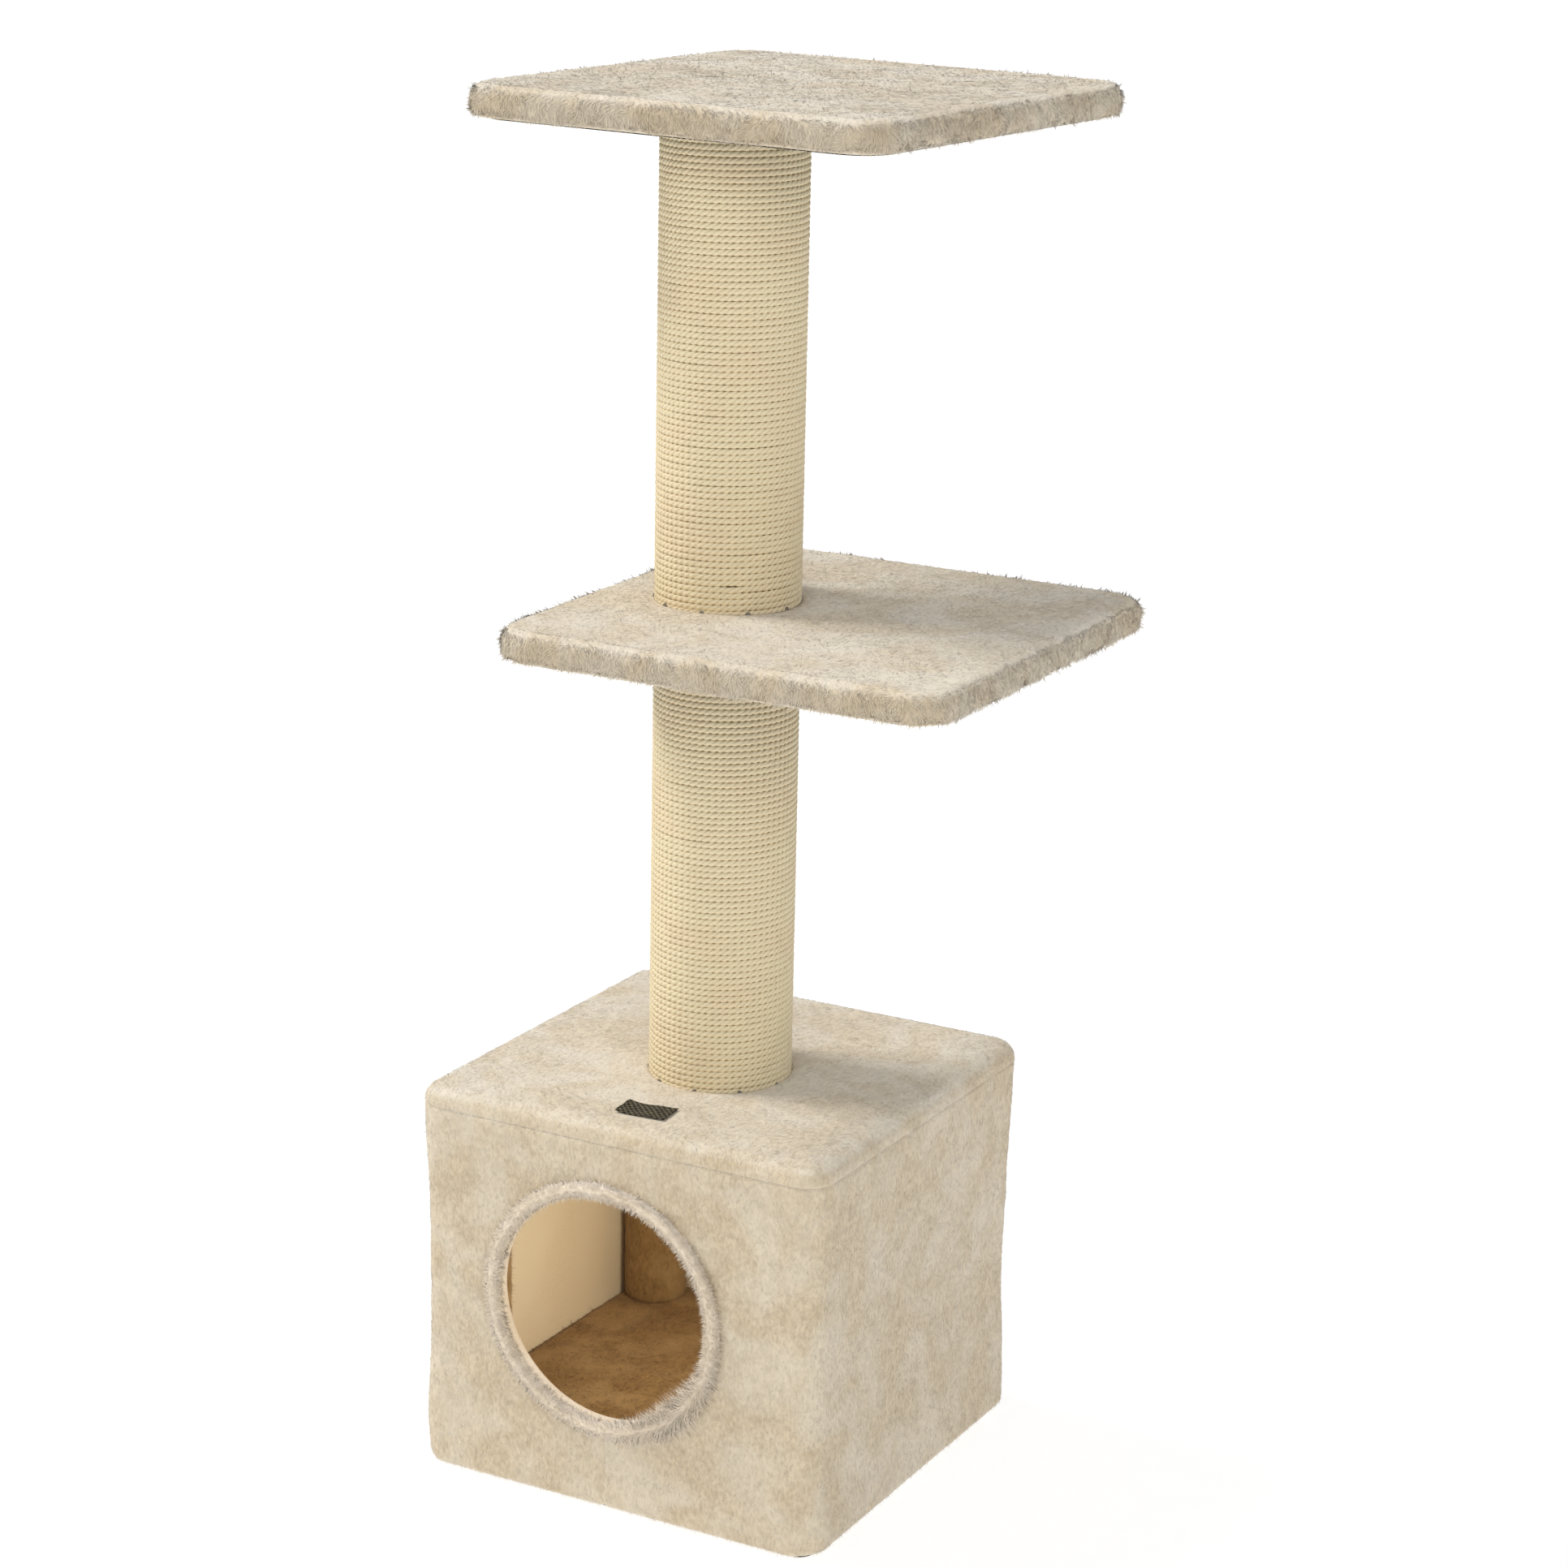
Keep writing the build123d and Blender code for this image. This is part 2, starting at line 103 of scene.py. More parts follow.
def outlineOf(width, depth, radius, spacing, extraX=()):
    # a rounded rectangle, counter-clockwise, with the outward direction at each point
    halfX, halfY = width / 2 - radius, depth / 2 - radius
    corners = [(halfX, -halfY, -90), (halfX, halfY, 0), (-halfX, halfY, 90), (-halfX, -halfY, 180)]
    points, outward = [], []
    arcSteps = max(6, round(radius * math.pi / 2 / spacing))
    for number, (x, y, start) in enumerate(corners):
        for step in range(arcSteps + 1):
            angle = math.radians(start + 90 * step / arcSteps)
            way = (math.cos(angle), math.sin(angle))
            points.append((x + radius * way[0], y + radius * way[1]))
            outward.append(way)
        nextX, nextY, _ = corners[(number + 1) % 4]
        begin = np.array(points[-1])
        end = np.array((nextX + radius * way[0], nextY + radius * way[1]))
        run = float(np.linalg.norm(end - begin))
        shares = [k / round(run / spacing) for k in range(1, round(run / spacing))]
        if number == 3:  # the front side, where a seam may need closer points
            shares += [(x - begin[0]) / run for x in extraX]
        for share in sorted(shares):
            points.append(tuple(begin + (end - begin) * share))
            outward.append(way)
    return np.array(points), np.array(outward)


def ringsToSkin(rings, closeTop=False):
    # rings is a list of equally long (count, 3) arrays; neighbours are joined by quads
    count = len(rings[0])
    points = np.concatenate(rings)
    column = np.arange(count)
    after = (column + 1) % count
    faces = [
        np.stack([row * count + column, row * count + after,
                  (row + 1) * count + after, (row + 1) * count + column], axis=1)
        for row in range(len(rings) - 1)
    ]
    faces = np.concatenate(faces)
    caps = []
    if closeTop:
        caps = [(np.arange(count) + (len(rings) - 1) * count).tolist()]
    return points, faces, caps


def makeMesh(name, points, faces, caps=(), smooth=True):
    mesh = bpy.data.meshes.new(name)
    listed = faces.tolist() if hasattr(faces, "tolist") else list(faces)
    mesh.from_pydata(points.tolist(), [], listed + list(caps))
    mesh.validate()
    if smooth:
        mesh.shade_smooth()
    piece = bpy.data.objects.new(name, mesh)
    scene.collection.objects.link(piece)
    return piece


def fromAxis(points, middle, second=1):
    # distance from an upright axis, or with second=2 from the axis of the doorway
    return np.hypot(points[:, 0] - middle.x, points[:, second] - middle[second])


def levelRing(flat, outward, offset, z):
    # an outline drawn in by an offset, at one height
    return np.column_stack([flat - outward * offset, np.full(len(flat), z)])


def thicken(piece, thickness):
    # gives a cloth its back, inwards, and applies it
    solid = piece.modifiers.new("cloth", "SOLIDIFY")
    solid.thickness = thickness
    solid.offset = -1
    solid.use_even_offset = False
    bpy.context.view_layer.update()
    evaluated = piece.evaluated_get(bpy.context.evaluated_depsgraph_get())
    mesh = bpy.data.meshes.new_from_object(evaluated)
    piece.modifiers.clear()
    piece.data = mesh
    mesh.shade_smooth()
    return piece


def dress(piece, material, slot, replaced=()):
    piece.data.materials.clear()
    piece.data.materials.append(material)
    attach(piece, "root")
    if replaced:
        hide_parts(*replaced)
    return piece


def unit(vectors):
    return vectors / np.maximum(np.linalg.norm(vectors, axis=1, keepdims=True), 1e-9)


def turnedAbout(vectors, axes, angles):
    # each vector turned about its own axis
    cosine, sine = np.cos(angles)[:, None], np.sin(angles)[:, None]
    along = (vectors * axes).sum(axis=1, keepdims=True)
    return vectors * cosine + np.cross(axes, vectors) * sine + axes * along * (1 - cosine)


# what all fibres share: thick and middle are shares of the width, facing is how far down a normal may point
fibreLook = {
    "thick": 0.3, "middle": 0.8, "facing": -0.2, "strayLift": 3.2, "leastLift": 0.06, "mostLift": 0.8,
    "liftDrift": 0.3, "liftJitter": 0.25, "lengths": (0.6, 0.7), "widths": (0.75, 0.5), "lowest": 0.7 * mm, "bend": 0,
}


def growFibres(name, points, faces, look, finish, napOf, keepOf=None, lengthOf=None):
    # round is how much a fibre's light turns with its section; finish is its material and a slot name that is not
    # used
    look = {**fibreLook, **look}
    rng = np.random.default_rng(look["seed"])
    triangles = np.concatenate([faces[:, [0, 1, 2]], faces[:, [0, 2, 3]]])
    a, b, c = (points[triangles[:, k]] for k in range(3))
    cross = np.cross(b - a, c - a)
    area = np.linalg.norm(cross, axis=1) / 2
    if keepOf is not None:
        area = area * keepOf((a + b + c) / 3, unit(cross))
    chosen = rng.choice(len(triangles), size=look["count"], p=area / area.sum())
    u, v = rng.random(look["count"]), rng.random(look["count"])
    over = u + v > 1
    u[over], v[over] = 1 - u[over], 1 - v[over]
    roots = a[chosen] + (b - a)[chosen] * u[:, None] + (c - a)[chosen] * v[:, None]
    normals = unit(cross)[chosen]
    nap = napOf(roots, normals)
    nap = unit(nap - normals * (nap * normals).sum(axis=1, keepdims=True))
    clump = noiseAt(roots, look["clumpScale"], look["seed"])
    nap = turnedAbout(nap, normals, look["wander"] * clump * 2 + rng.normal(0, look["jitter"], len(roots)))
    drift = look["liftDrift"] * noiseAt(roots, look["liftScale"], look["seed"] + 5)
    lift = look["lift"] * (1 + drift + rng.normal(0, look["liftJitter"], len(roots)))
    stray = rng.random(len(roots)) < look["strays"]
    lift = np.where(stray, lift * look["strayLift"], lift).clip(look["leastLift"], look["mostLift"])[:, None]
    way = unit(normals * lift + nap * (1 - lift))
    length = look["length"] * (look["lengths"][0] + look["lengths"][1] * rng.random(len(roots)))
    if lengthOf is not None:
        length = length * lengthOf(roots, normals)
    sideA = unit(np.cross(way, normals))
    sideB = np.cross(way, sideA)
    width = look["width"] * (look["widths"][0] + look["widths"][1] * rng.random(len(roots)))[:, None] / 2
    start = roots - normals * look["sink"]
    turns = [(0, look["thick"]), (-0.87, -look["thick"] / 2), (0.87, -look["thick"] / 2)]  # a flattened section
    rings = [start + width * (x * sideA + y * sideB) for x, y in turns]
    lit = unit(np.column_stack([normals[:, 0], normals[:, 1], np.maximum(normals[:, 2], look["facing"])]) + 1e-6)
    shading = [unit(lit + look["round"] * x * sideA) for x, y in turns]
    tip = start + way * length[:, None]
    if look["bend"]:
        middle = start + way * length[:, None] * 0.5 + normals * (look["bend"] * length)[:, None] * 0.5
        rings += [middle + width * look["middle"] * (x * sideA + y * sideB) for x, y in turns]
        shading += shading
    rings.append(tip)
    shading.append(lit)
    perFibre = len(rings)
    verts = np.stack(rings, axis=1).reshape(-1, 3)
    verts[:, 2] = np.maximum(verts[:, 2], look["lowest"])
    if look["bend"]:
        one = [(0, 2, 1), (0, 1, 4), (0, 4, 3), (1, 2, 5), (1, 5, 4), (2, 0, 3), (2, 3, 5),
               (3, 4, 6), (4, 5, 6), (5, 3, 6)]
    else:
        one = [(0, 2, 1), (0, 1, 3), (1, 2, 3), (2, 0, 3)]
    tris = (np.array(one)[None] + (np.arange(len(roots)) * perFibre)[:, None, None]).reshape(-1, 3)
    piece = meshOfTriangles(name, verts, tris)
    cellMap(piece, len(roots), look["bend"])
    # a fibre is lit like the cloth it stands on
    piece.data.normals_split_custom_set_from_vertices(np.stack(shading, axis=1).reshape(-1, 3))
    return dress(piece, *finish)


def meshOfTriangles(name, points, triangles):
    mesh = bpy.data.meshes.new(name)
    mesh.vertices.add(len(points))
    mesh.vertices.foreach_set("co", points.astype(np.float32).ravel())
    mesh.loops.add(triangles.size)
    mesh.loops.foreach_set("vertex_index", triangles.astype(np.int32).ravel())
    mesh.polygons.add(len(triangles))
    mesh.polygons.foreach_set("loop_start", np.arange(0, triangles.size, 3, dtype=np.int32))
    mesh.update(calc_edges=True)
    mesh.shade_smooth()
    piece = bpy.data.objects.new(name, mesh)
    scene.collection.objects.link(piece)
    return piece


def numbersOf(items, label):
    numbers = np.empty(len(items), dtype=np.int32)
    items.foreach_get(label, numbers)
    return numbers


def addMap(piece, u, v):
    # a UV map named OFBake on the piece
    layer = piece.data.uv_layers.new(name="OFBake")
    layer.data.foreach_set("uv", np.stack([u, v], axis=1).astype(np.float32).ravel())


def cellMap(piece, count, bent):
    # every fibre gets one small cell of the map, root at the bottom and tip at the top
    cells = math.ceil(math.sqrt(count))
    lookU = np.array([0.2, 0.5, 0.8] + [0.2, 0.5, 0.8] * bool(bent) + [0.5])
    lookV = np.array([0.15] * 3 + [0.5] * 3 * bool(bent) + [0.85])
    vertex = numbersOf(piece.data.loops, "vertex_index")
    perVertex = 7 if bent else 4
    number, corner = vertex // perVertex, vertex % perVertex
    addMap(piece, (number % cells + lookU[corner]) / cells, (number // cells + lookV[corner]) / cells)


def addNode(tree, kind, **settings):
    node = tree.nodes.new(kind)
    for name, value in settings.items():
        if name.startswith("in_"):
            node.inputs[name[3:].replace("_", " ")].default_value = value
        else:
            setattr(node, name, value)
    return node


def newGroup(name, inputs):
    # a group that takes the named values and gives a colour and a height
    kinds = {1: "NodeSocketFloat", 3: "NodeSocketVector", 4: "NodeSocketColor"}
    group = bpy.data.node_groups.new(name, "ShaderNodeTree")
    for label, value in inputs.items():
        kind = kinds[len(value) if isinstance(value, tuple) else 1]
        group.interface.new_socket(label, in_out="INPUT", socket_type=kind).default_value = value
    group.interface.new_socket("Color", in_out="OUTPUT", socket_type=kinds[4])
    group.interface.new_socket("Height", in_out="OUTPUT", socket_type=kinds[1])
    return group, group.nodes.new("NodeGroupInput").outputs, group.nodes.new("NodeGroupOutput").inputs


def feed(tree, sockets, values):
    # a value is a constant or the output of another node
    for socket, value in zip(sockets, values):
        if hasattr(value, "links"):
            tree.links.new(value, socket)
        else:
            socket.default_value = value


def math2(tree, operation, first, second=0.0):
    node = addNode(tree, "ShaderNodeMath", operation=operation)
    feed(tree, node.inputs, (first, second))
    return node.outputs[0]


def times(tree, first, second):
    return math2(tree, "MULTIPLY", first, second)


def softStep(tree, value, low, high, toLow=0.0, toHigh=1.0):
    node = addNode(tree, "ShaderNodeMapRange", interpolation_type="SMOOTHSTEP")
    labels = ("Value", "From Min", "From Max", "To Min", "To Max")
    feed(tree, [node.inputs[label] for label in labels], (value, low, high, toLow, toHigh))
    return node.outputs["Result"]


def mixColors(tree, factor, first, second, blend="MIX"):
    node = addNode(tree, "ShaderNodeMix", data_type="RGBA", blend_type=blend)
    feed(tree, [s for s in node.inputs if s.enabled], (factor, first, second))
    return [s for s in node.outputs if s.enabled][0]


def noiseNode(tree, vector, scale, detail=2.0, distortion=0.0):
    node = addNode(tree, "ShaderNodeTexNoise", in_Detail=detail, in_Distortion=distortion)
    feed(tree, (node.inputs["Vector"], node.inputs["Scale"]), (vector, scale))
    return node.outputs["Fac"]


def vectorMath(tree, operation, first, second):
    node = addNode(tree, "ShaderNodeVectorMath", operation=operation)
    feed(tree, node.inputs, (first, second))
    return node.outputs["Vector"]


# pile of a plush: locks that lie along the nap, soft patches of painted highlight where the nap turns, and painted
# light on upward faces
def buildPileGroup():
    group, take, give = newGroup("pile", {
        "Color": (0.7, 0.6, 0.45, 1), "Shade": (0.5, 0.4, 0.28, 1), "Highlight": (0.8, 0.72, 0.6, 1),
        "Patch Size": 0.035, "Patch Strength": 0.6, "Lock Width": 0.0012, "Lock Length": 0.006,
        "Top Painted Light": (1.0, 1.0, 1.0, 1)})
    place = addNode(group, "ShaderNodeTexCoord").outputs["Object"]
    bendNoise = addNode(group, "ShaderNodeTexNoise", in_Scale=45.0, in_Detail=1.0)
    group.links.new(place, bendNoise.inputs["Vector"])
    bend = vectorMath(group, "MULTIPLY", vectorMath(group, "SUBTRACT", bendNoise.outputs["Color"], (0.5, 0.5, 0.5)),
                      (0.004, 0.004, 0.004))
    bentPlace = vectorMath(group, "ADD", place, bend)
    sideSize = addNode(group, "ShaderNodeCombineXYZ")
    topSize = addNode(group, "ShaderNodeCombineXYZ")
    for socket, value in zip(sideSize.inputs, ("Lock Width", "Lock Width", "Lock Length")):
        group.links.new(take[value], socket)
    for socket, value in zip(topSize.inputs, ("Lock Width", "Lock Length", "Lock Width")):
        group.links.new(take[value], socket)
    sideLocks = noiseNode(group, vectorMath(group, "DIVIDE", bentPlace, sideSize.outputs[0]), 1.0, 2.5)
    topLocks = noiseNode(group, vectorMath(group, "DIVIDE", bentPlace, topSize.outputs[0]), 1.0, 2.5)
    facing = addNode(group, "ShaderNodeSeparateXYZ")
    group.links.new(addNode(group, "ShaderNodeNewGeometry").outputs["Normal"], facing.inputs[0])
    upward = softStep(group, math2(group, "ABSOLUTE", facing.outputs["Z"]), 0.45, 0.8)
    locks = addNode(group, "ShaderNodeMix")
    group.links.new(upward, locks.inputs["Factor"])
    group.links.new(sideLocks, locks.inputs["A"])
    group.links.new(topLocks, locks.inputs["B"])
    lockTone = softStep(group, locks.outputs["Result"], 0.36, 0.6)
    patchScale = math2(group, "DIVIDE", 1.0, take["Patch Size"])
    patch = softStep(group, noiseNode(group, place, patchScale, 3.0, 0.7), 0.38, 0.66)
    mottleScale = times(group, patchScale, 4.5)
    mottle = softStep(group, noiseNode(group, bentPlace, mottleScale, 3.0, 0.5), 0.36, 0.64)
    tone = math2(group, "ADD", times(group, lockTone, 0.6), times(group, mottle, 0.4))
    body = mixColors(group, tone, take["Shade"], take["Color"])
    # painted highlight: patches mix towards the highlight colour, standing in for the nap catching the light
    strength = times(group, patch, take["Patch Strength"])
    patched = mixColors(group, strength, body, take["Highlight"])
    # painted light: upward-facing pile is multiplied by the top colour, which whitens the plush tops to stand in for
    # sheen
    group.links.new(mixColors(group, upward, patched, take["Top Painted Light"], "MULTIPLY"), give["Color"])
    height = math2(group, "ADD", times(group, locks.outputs["Result"], 0.7),
                   times(group, mottle, 0.3))
    group.links.new(height, give["Height"])
    return group


# grain of a rough fibre or a board: long streaks one way, specks and slow drifts of colour
def buildGrainGroup():
    group, take, give = newGroup("grain", {
        "Color": (0.6, 0.5, 0.3, 1), "Shade": (0.4, 0.3, 0.18, 1), "Drift": (0.7, 0.6, 0.36, 1),
        "Size": (0.002, 0.002, 0.0006), "Drift Size": (0.04, 0.04, 0.0045), "Speck Amount": 0.3})
    place = addNode(group, "ShaderNodeTexCoord").outputs["Object"]
    streak = noiseNode(group, vectorMath(group, "DIVIDE", place, take["Size"]), 1.0, 3.0, 0.4)
    drift = noiseNode(group, vectorMath(group, "DIVIDE", place, take["Drift Size"]), 1.0, 2.0, 0.3)
    specks = softStep(group, noiseNode(group, place, 420.0, 1.0), 0.70, 0.76)
    body = mixColors(group, softStep(group, streak, 0.32, 0.62), take["Shade"], take["Color"])
    drifted = mixColors(group, softStep(group, drift, 0.4, 0.65), body, take["Drift"])
    dark = times(group, specks, take["Speck Amount"])
    group.links.new(mixColors(group, dark, drifted, (0.08, 0.05, 0.025, 1)), give["Color"])
    group.links.new(streak, give["Height"])
    return group


# strands of a laid rope: slanted ridges that run on from turn to turn, with painted shade in the valleys between them
def buildTwistGroup():
    group, take, give = newGroup("twist", {
        "Color": (0.8, 0.7, 0.45, 1), "Valley Shade": (0.45, 0.34, 0.18, 1), "Drift": (0.75, 0.62, 0.38, 1),
        "Turns": ropeTurns + 1.0, "Ridges": float(ropeRidges), "Slant": 2.0, "Depth": 0.6})
    spot = addNode(group, "ShaderNodeSeparateXYZ")
    group.links.new(addNode(group, "ShaderNodeUVMap", uv_map="OFBake").outputs[0], spot.inputs[0])
    place = addNode(group, "ShaderNodeTexCoord").outputs["Object"]
    across = math2(group, "FRACT", times(group, spot.outputs["Y"], take["Turns"]))
    ridge = math2(group, "SUBTRACT", times(group, spot.outputs["X"], take["Ridges"]),
                  times(group, across, take["Slant"]))
    waver = noiseNode(group, place, 90.0, 1.0)
    ridge = math2(group, "ADD", ridge, times(group, waver, 0.9))
    strand = math2(group, "ABSOLUTE", math2(group, "SINE", times(group, ridge, math.pi)))
    hairs = noiseNode(group, vectorMath(group, "DIVIDE", place, (0.0016, 0.0016, 0.0004)), 1.0, 2.0, 0.3)
    drift = noiseNode(group, vectorMath(group, "DIVIDE", place, (0.045, 0.045, 0.03)), 1.0, 2.0, 0.3)
    # painted shade: the valleys between strands are mixed towards the valley colour
    deep = times(group, softStep(group, strand, 0.0, 0.55, 1.0, 0.0), take["Depth"])
    fine = times(group, softStep(group, hairs, 0.25, 0.5, 1.0, 0.0), 0.35)
    drifted = mixColors(group, softStep(group, drift, 0.4, 0.7), take["Color"], take["Drift"])
    dark = math2(group, "MAXIMUM", deep, fine)
    group.links.new(mixColors(group, dark, drifted, take["Valley Shade"]), give["Color"])
    group.links.new(math2(group, "ADD", strand, times(group, hairs, 0.5)), give["Height"])
    return group


# plain weave: threads over and under each other
def buildWeaveGroup():
    group, take, give = newGroup("weave", {
        "Color": (0.02, 0.02, 0.02, 1), "Thread Color": (0.1, 0.1, 0.1, 1), "Thread": 0.0006, "Contrast": 0.6})
    place = addNode(group, "ShaderNodeTexCoord").outputs["Object"]
    size = addNode(group, "ShaderNodeCombineXYZ")
    for socket in size.inputs:
        group.links.new(take["Thread"], socket)
    scaled = vectorMath(group, "DIVIDE", place, size.outputs[0])
    parts = addNode(group, "ShaderNodeSeparateXYZ")
    group.links.new(scaled, parts.inputs[0])
    waves = [math2(group, "SINE", times(group, parts.outputs[axis], math.pi)) for axis in (0, 1)]
    woven = softStep(group, times(group, waves[0], waves[1]), -0.6, 0.6)
    fuzz = noiseNode(group, scaled, 0.35, 3.0)
    shade = times(group, woven, take["Contrast"])
    shade = times(group, shade, softStep(group, fuzz, 0.3, 0.7, 0.5, 1.0))
    group.links.new(mixColors(group, shade, take["Color"], take["Thread Color"]),
                    give["Color"])
    group.links.new(woven, give["Height"])
    return group


pileGroup = buildPileGroup()
grainGroup = buildGrainGroup()
twistGroup = buildTwistGroup()
weaveGroup = buildWeaveGroup()


def makeMaterial(name, group, values, roughness=0.95, bump=0.5, bumpDistance=1.0 * mm, sheen=0.0, metallic=0.0):
    material = bpy.data.materials.new(name)
    material.use_nodes = True
    tree = material.node_tree
    shader = tree.nodes["Principled BSDF"]
    shader.inputs["Roughness"].default_value = roughness
    shader.inputs["Metallic"].default_value = metallic
    shader.inputs["Sheen Weight"].default_value = sheen
    shader.inputs["Sheen Roughness"].default_value = 0.5
    shader.inputs["Specular IOR Level"].default_value = 0.2 if not metallic else 0.5
    look = tree.nodes.new("ShaderNodeGroup")
    look.node_tree = group
    for label, value in values.items():
        look.inputs[label].default_value = value
    tree.links.new(look.outputs["Color"], shader.inputs["Base Color"])
    bumpNode = addNode(tree, "ShaderNodeBump", in_Strength=bump, in_Distance=bumpDistance)
    tree.links.new(look.outputs["Height"], bumpNode.inputs["Height"])
    tree.links.new(bumpNode.outputs["Normal"], shader.inputs["Normal"])
    return material


plushLook = {
    "Color": (0.682, 0.567, 0.405, 1), "Shade": (0.54, 0.434, 0.29, 1), "Highlight": (0.735, 0.655, 0.52, 1),
    "Patch Size": 0.05, "Patch Strength": 0.6, "Lock Width": 0.0021, "Lock Length": 0.0042,
    # the top colour is painted light: whiter tops stand in for sheen
    "Top Painted Light": (1.15, 1.20, 1.31, 1),
}
# painted light: fibre tips are lighter and less mottled than the cloth, to offset the shade the fibres cast on each
# other
litTipLook = {"Color": (0.688, 0.584, 0.437, 1), "Shade": (0.622, 0.517, 0.371, 1), "Highlight": (0.76, 0.685, 0.56, 1)}
trimLook = {"Color": (0.88, 0.755, 0.60, 1), "Shade": (0.77, 0.645, 0.485, 1), "Highlight": (0.92, 0.83, 0.70, 1),
            "Lock Width": 0.0016, "Lock Length": 0.0018, "Patch Strength": 0.3}
# painted shade: the plush inside the house is a darker, browner copy of the same plush, with slightly darker tops
denShadeLook = {"Color": (0.345, 0.215, 0.092, 1), "Shade": (0.25, 0.148, 0.058, 1), "Highlight": (0.45, 0.30, 0.145, 1),
           "Patch Size": 0.045, "Patch Strength": 0.75, "Top Painted Light": (1.0, 0.97, 0.93, 1)}
sheenAmount = 0.25
plush = makeMaterial("plush", pileGroup, plushLook, bump=0.7, bumpDistance=1.2 * mm, sheen=sheenAmount)
plushTips = makeMaterial("plushTips", pileGroup, {**plushLook, **litTipLook}, bump=0.15, sheen=sheenAmount)
rollPlush = makeMaterial("rollPlush", pileGroup, {**plushLook, **trimLook}, bump=0.6, sheen=sheenAmount)
denShadedPlush = makeMaterial("denShadedPlush", pileGroup, {**plushLook, **denShadeLook}, bump=0.3, sheen=0.1)
sisal = makeMaterial("sisal", twistGroup, {
    "Color": (0.85, 0.74, 0.505, 1), "Valley Shade": (0.56, 0.43, 0.23, 1), "Drift": (0.84, 0.705, 0.48, 1), "Depth": 0.5},
    roughness=0.8, bump=0.7, bumpDistance=0.7 * mm, sheen=0.05)


def grainMaterial(name, colors, size, driftSize, specks, **finish):
    values = {label: (*color, 1) for label, color in zip(("Color", "Shade", "Drift"), colors)}
    values.update({"Size": size, "Drift Size": driftSize, "Speck Amount": specks})
    return makeMaterial(name, grainGroup, values, **finish)


sisalHair = grainMaterial(
    "sisalHair", ((0.84, 0.74, 0.52), (0.74, 0.62, 0.40), (0.84, 0.74, 0.52)), size=(0.004, 0.004, 0.002),
    driftSize=(0.05, 0.05, 0.02), specks=0.0, roughness=0.8, bump=0.1)
innerBoard = grainMaterial(
    "innerBoard", ((0.86, 0.735, 0.54), (0.82, 0.69, 0.50), (0.87, 0.75, 0.56)), size=(0.0015, 0.0015, 0.0015),
    driftSize=(0.09, 0.09, 0.09), specks=0.0, roughness=0.75, bump=0.08, bumpDistance=0.3 * mm)
chipBoard = grainMaterial(
    "chipBoard", ((0.50, 0.38, 0.24), (0.34, 0.24, 0.14), (0.56, 0.44, 0.29)), size=(0.004, 0.003, 0.002),
    driftSize=(0.03, 0.03, 0.01), specks=0.4, roughness=0.8, bump=0.3, bumpDistance=0.4 * mm)
turnedWood = grainMaterial(
    "turnedWood", ((0.62, 0.46, 0.27), (0.50, 0.35, 0.19), (0.66, 0.50, 0.31)), size=(0.0012, 0.0012, 0.03),
    driftSize=(0.01, 0.01, 0.12), specks=0.1, roughness=0.6, bump=0.2, bumpDistance=0.3 * mm)
tubeCard = grainMaterial(
    "tubeCard", ((0.36, 0.25, 0.14), (0.28, 0.19, 0.10), (0.40, 0.29, 0.17)), size=(0.004, 0.004, 0.0006),
    driftSize=(0.05, 0.05, 0.02), specks=0.2, roughness=0.9, bump=0.2, bumpDistance=0.3 * mm)
steel = grainMaterial(
    "steel", ((0.34, 0.33, 0.31), (0.24, 0.23, 0.21), (0.38, 0.36, 0.33)), size=(0.0008, 0.0008, 0.0002),
    driftSize=(0.006, 0.006, 0.006), specks=0.2, roughness=0.45, bump=0.1, bumpDistance=0.1 * mm, metallic=0.9)
backing = makeMaterial("backing", weaveGroup, {
    "Color": (0.012, 0.012, 0.012, 1), "Thread Color": (0.055, 0.053, 0.05, 1), "Thread": 0.0009, "Contrast": 0.8},
    roughness=0.9, bump=0.4, bumpDistance=0.3 * mm)
labelCloth = makeMaterial("labelCloth", weaveGroup, {
    "Color": (0.012, 0.010, 0.007, 1), "Thread Color": (0.22, 0.19, 0.12, 1), "Thread": 0.0022, "Contrast": 0.8},
    roughness=0.8, bump=0.4, bumpDistance=0.3 * mm)
print("materials made")


cameraSetup = {"azimuth": 28.46, "down": 16.11, "roll": 1.2, "lens": 90.06, "place": (1.2450, -2.2208, 1.2126)}


def placeCamera(setup):
    azimuth, down, roll = (math.radians(setup[key]) for key in ("azimuth", "down", "roll"))
    forward = Vector((-math.sin(azimuth) * math.cos(down), math.cos(azimuth) * math.cos(down), -math.sin(down)))
    level = Vector((math.cos(azimuth), math.sin(azimuth), 0))
    above = level.cross(forward)
    right = math.cos(roll) * level + math.sin(roll) * above
    up = -math.sin(roll) * level + math.cos(roll) * above
    data = bpy.data.cameras.new("camera")
    data.lens = setup["lens"]
    data.sensor_width = 36
    data.clip_end = 50
    camera = bpy.data.objects.new("camera", data)
    turn = Matrix((right, up, -forward)).transposed().to_4x4()
    camera.matrix_world = Matrix.Translation(setup["place"]) @ turn
    scene.collection.objects.link(camera)
    scene.camera = camera


def sunLight(name, light):
    data = bpy.data.lights.new(name, "SUN")
    data.energy = light["strength"]
    data.color = light["color"]
    data.angle = math.radians(light["spread"])
    lamp = bpy.data.objects.new(name, data)
    turn, height = math.radians(light["turn"]), math.radians(light["height"])
    back = Vector((math.cos(turn) * math.cos(height), math.sin(turn) * math.cos(height), math.sin(height)))
    lamp.rotation_euler = (-back).to_track_quat("-Z", "Y").to_euler()
    lamp.location = back * 3
    scene.collection.objects.link(lamp)


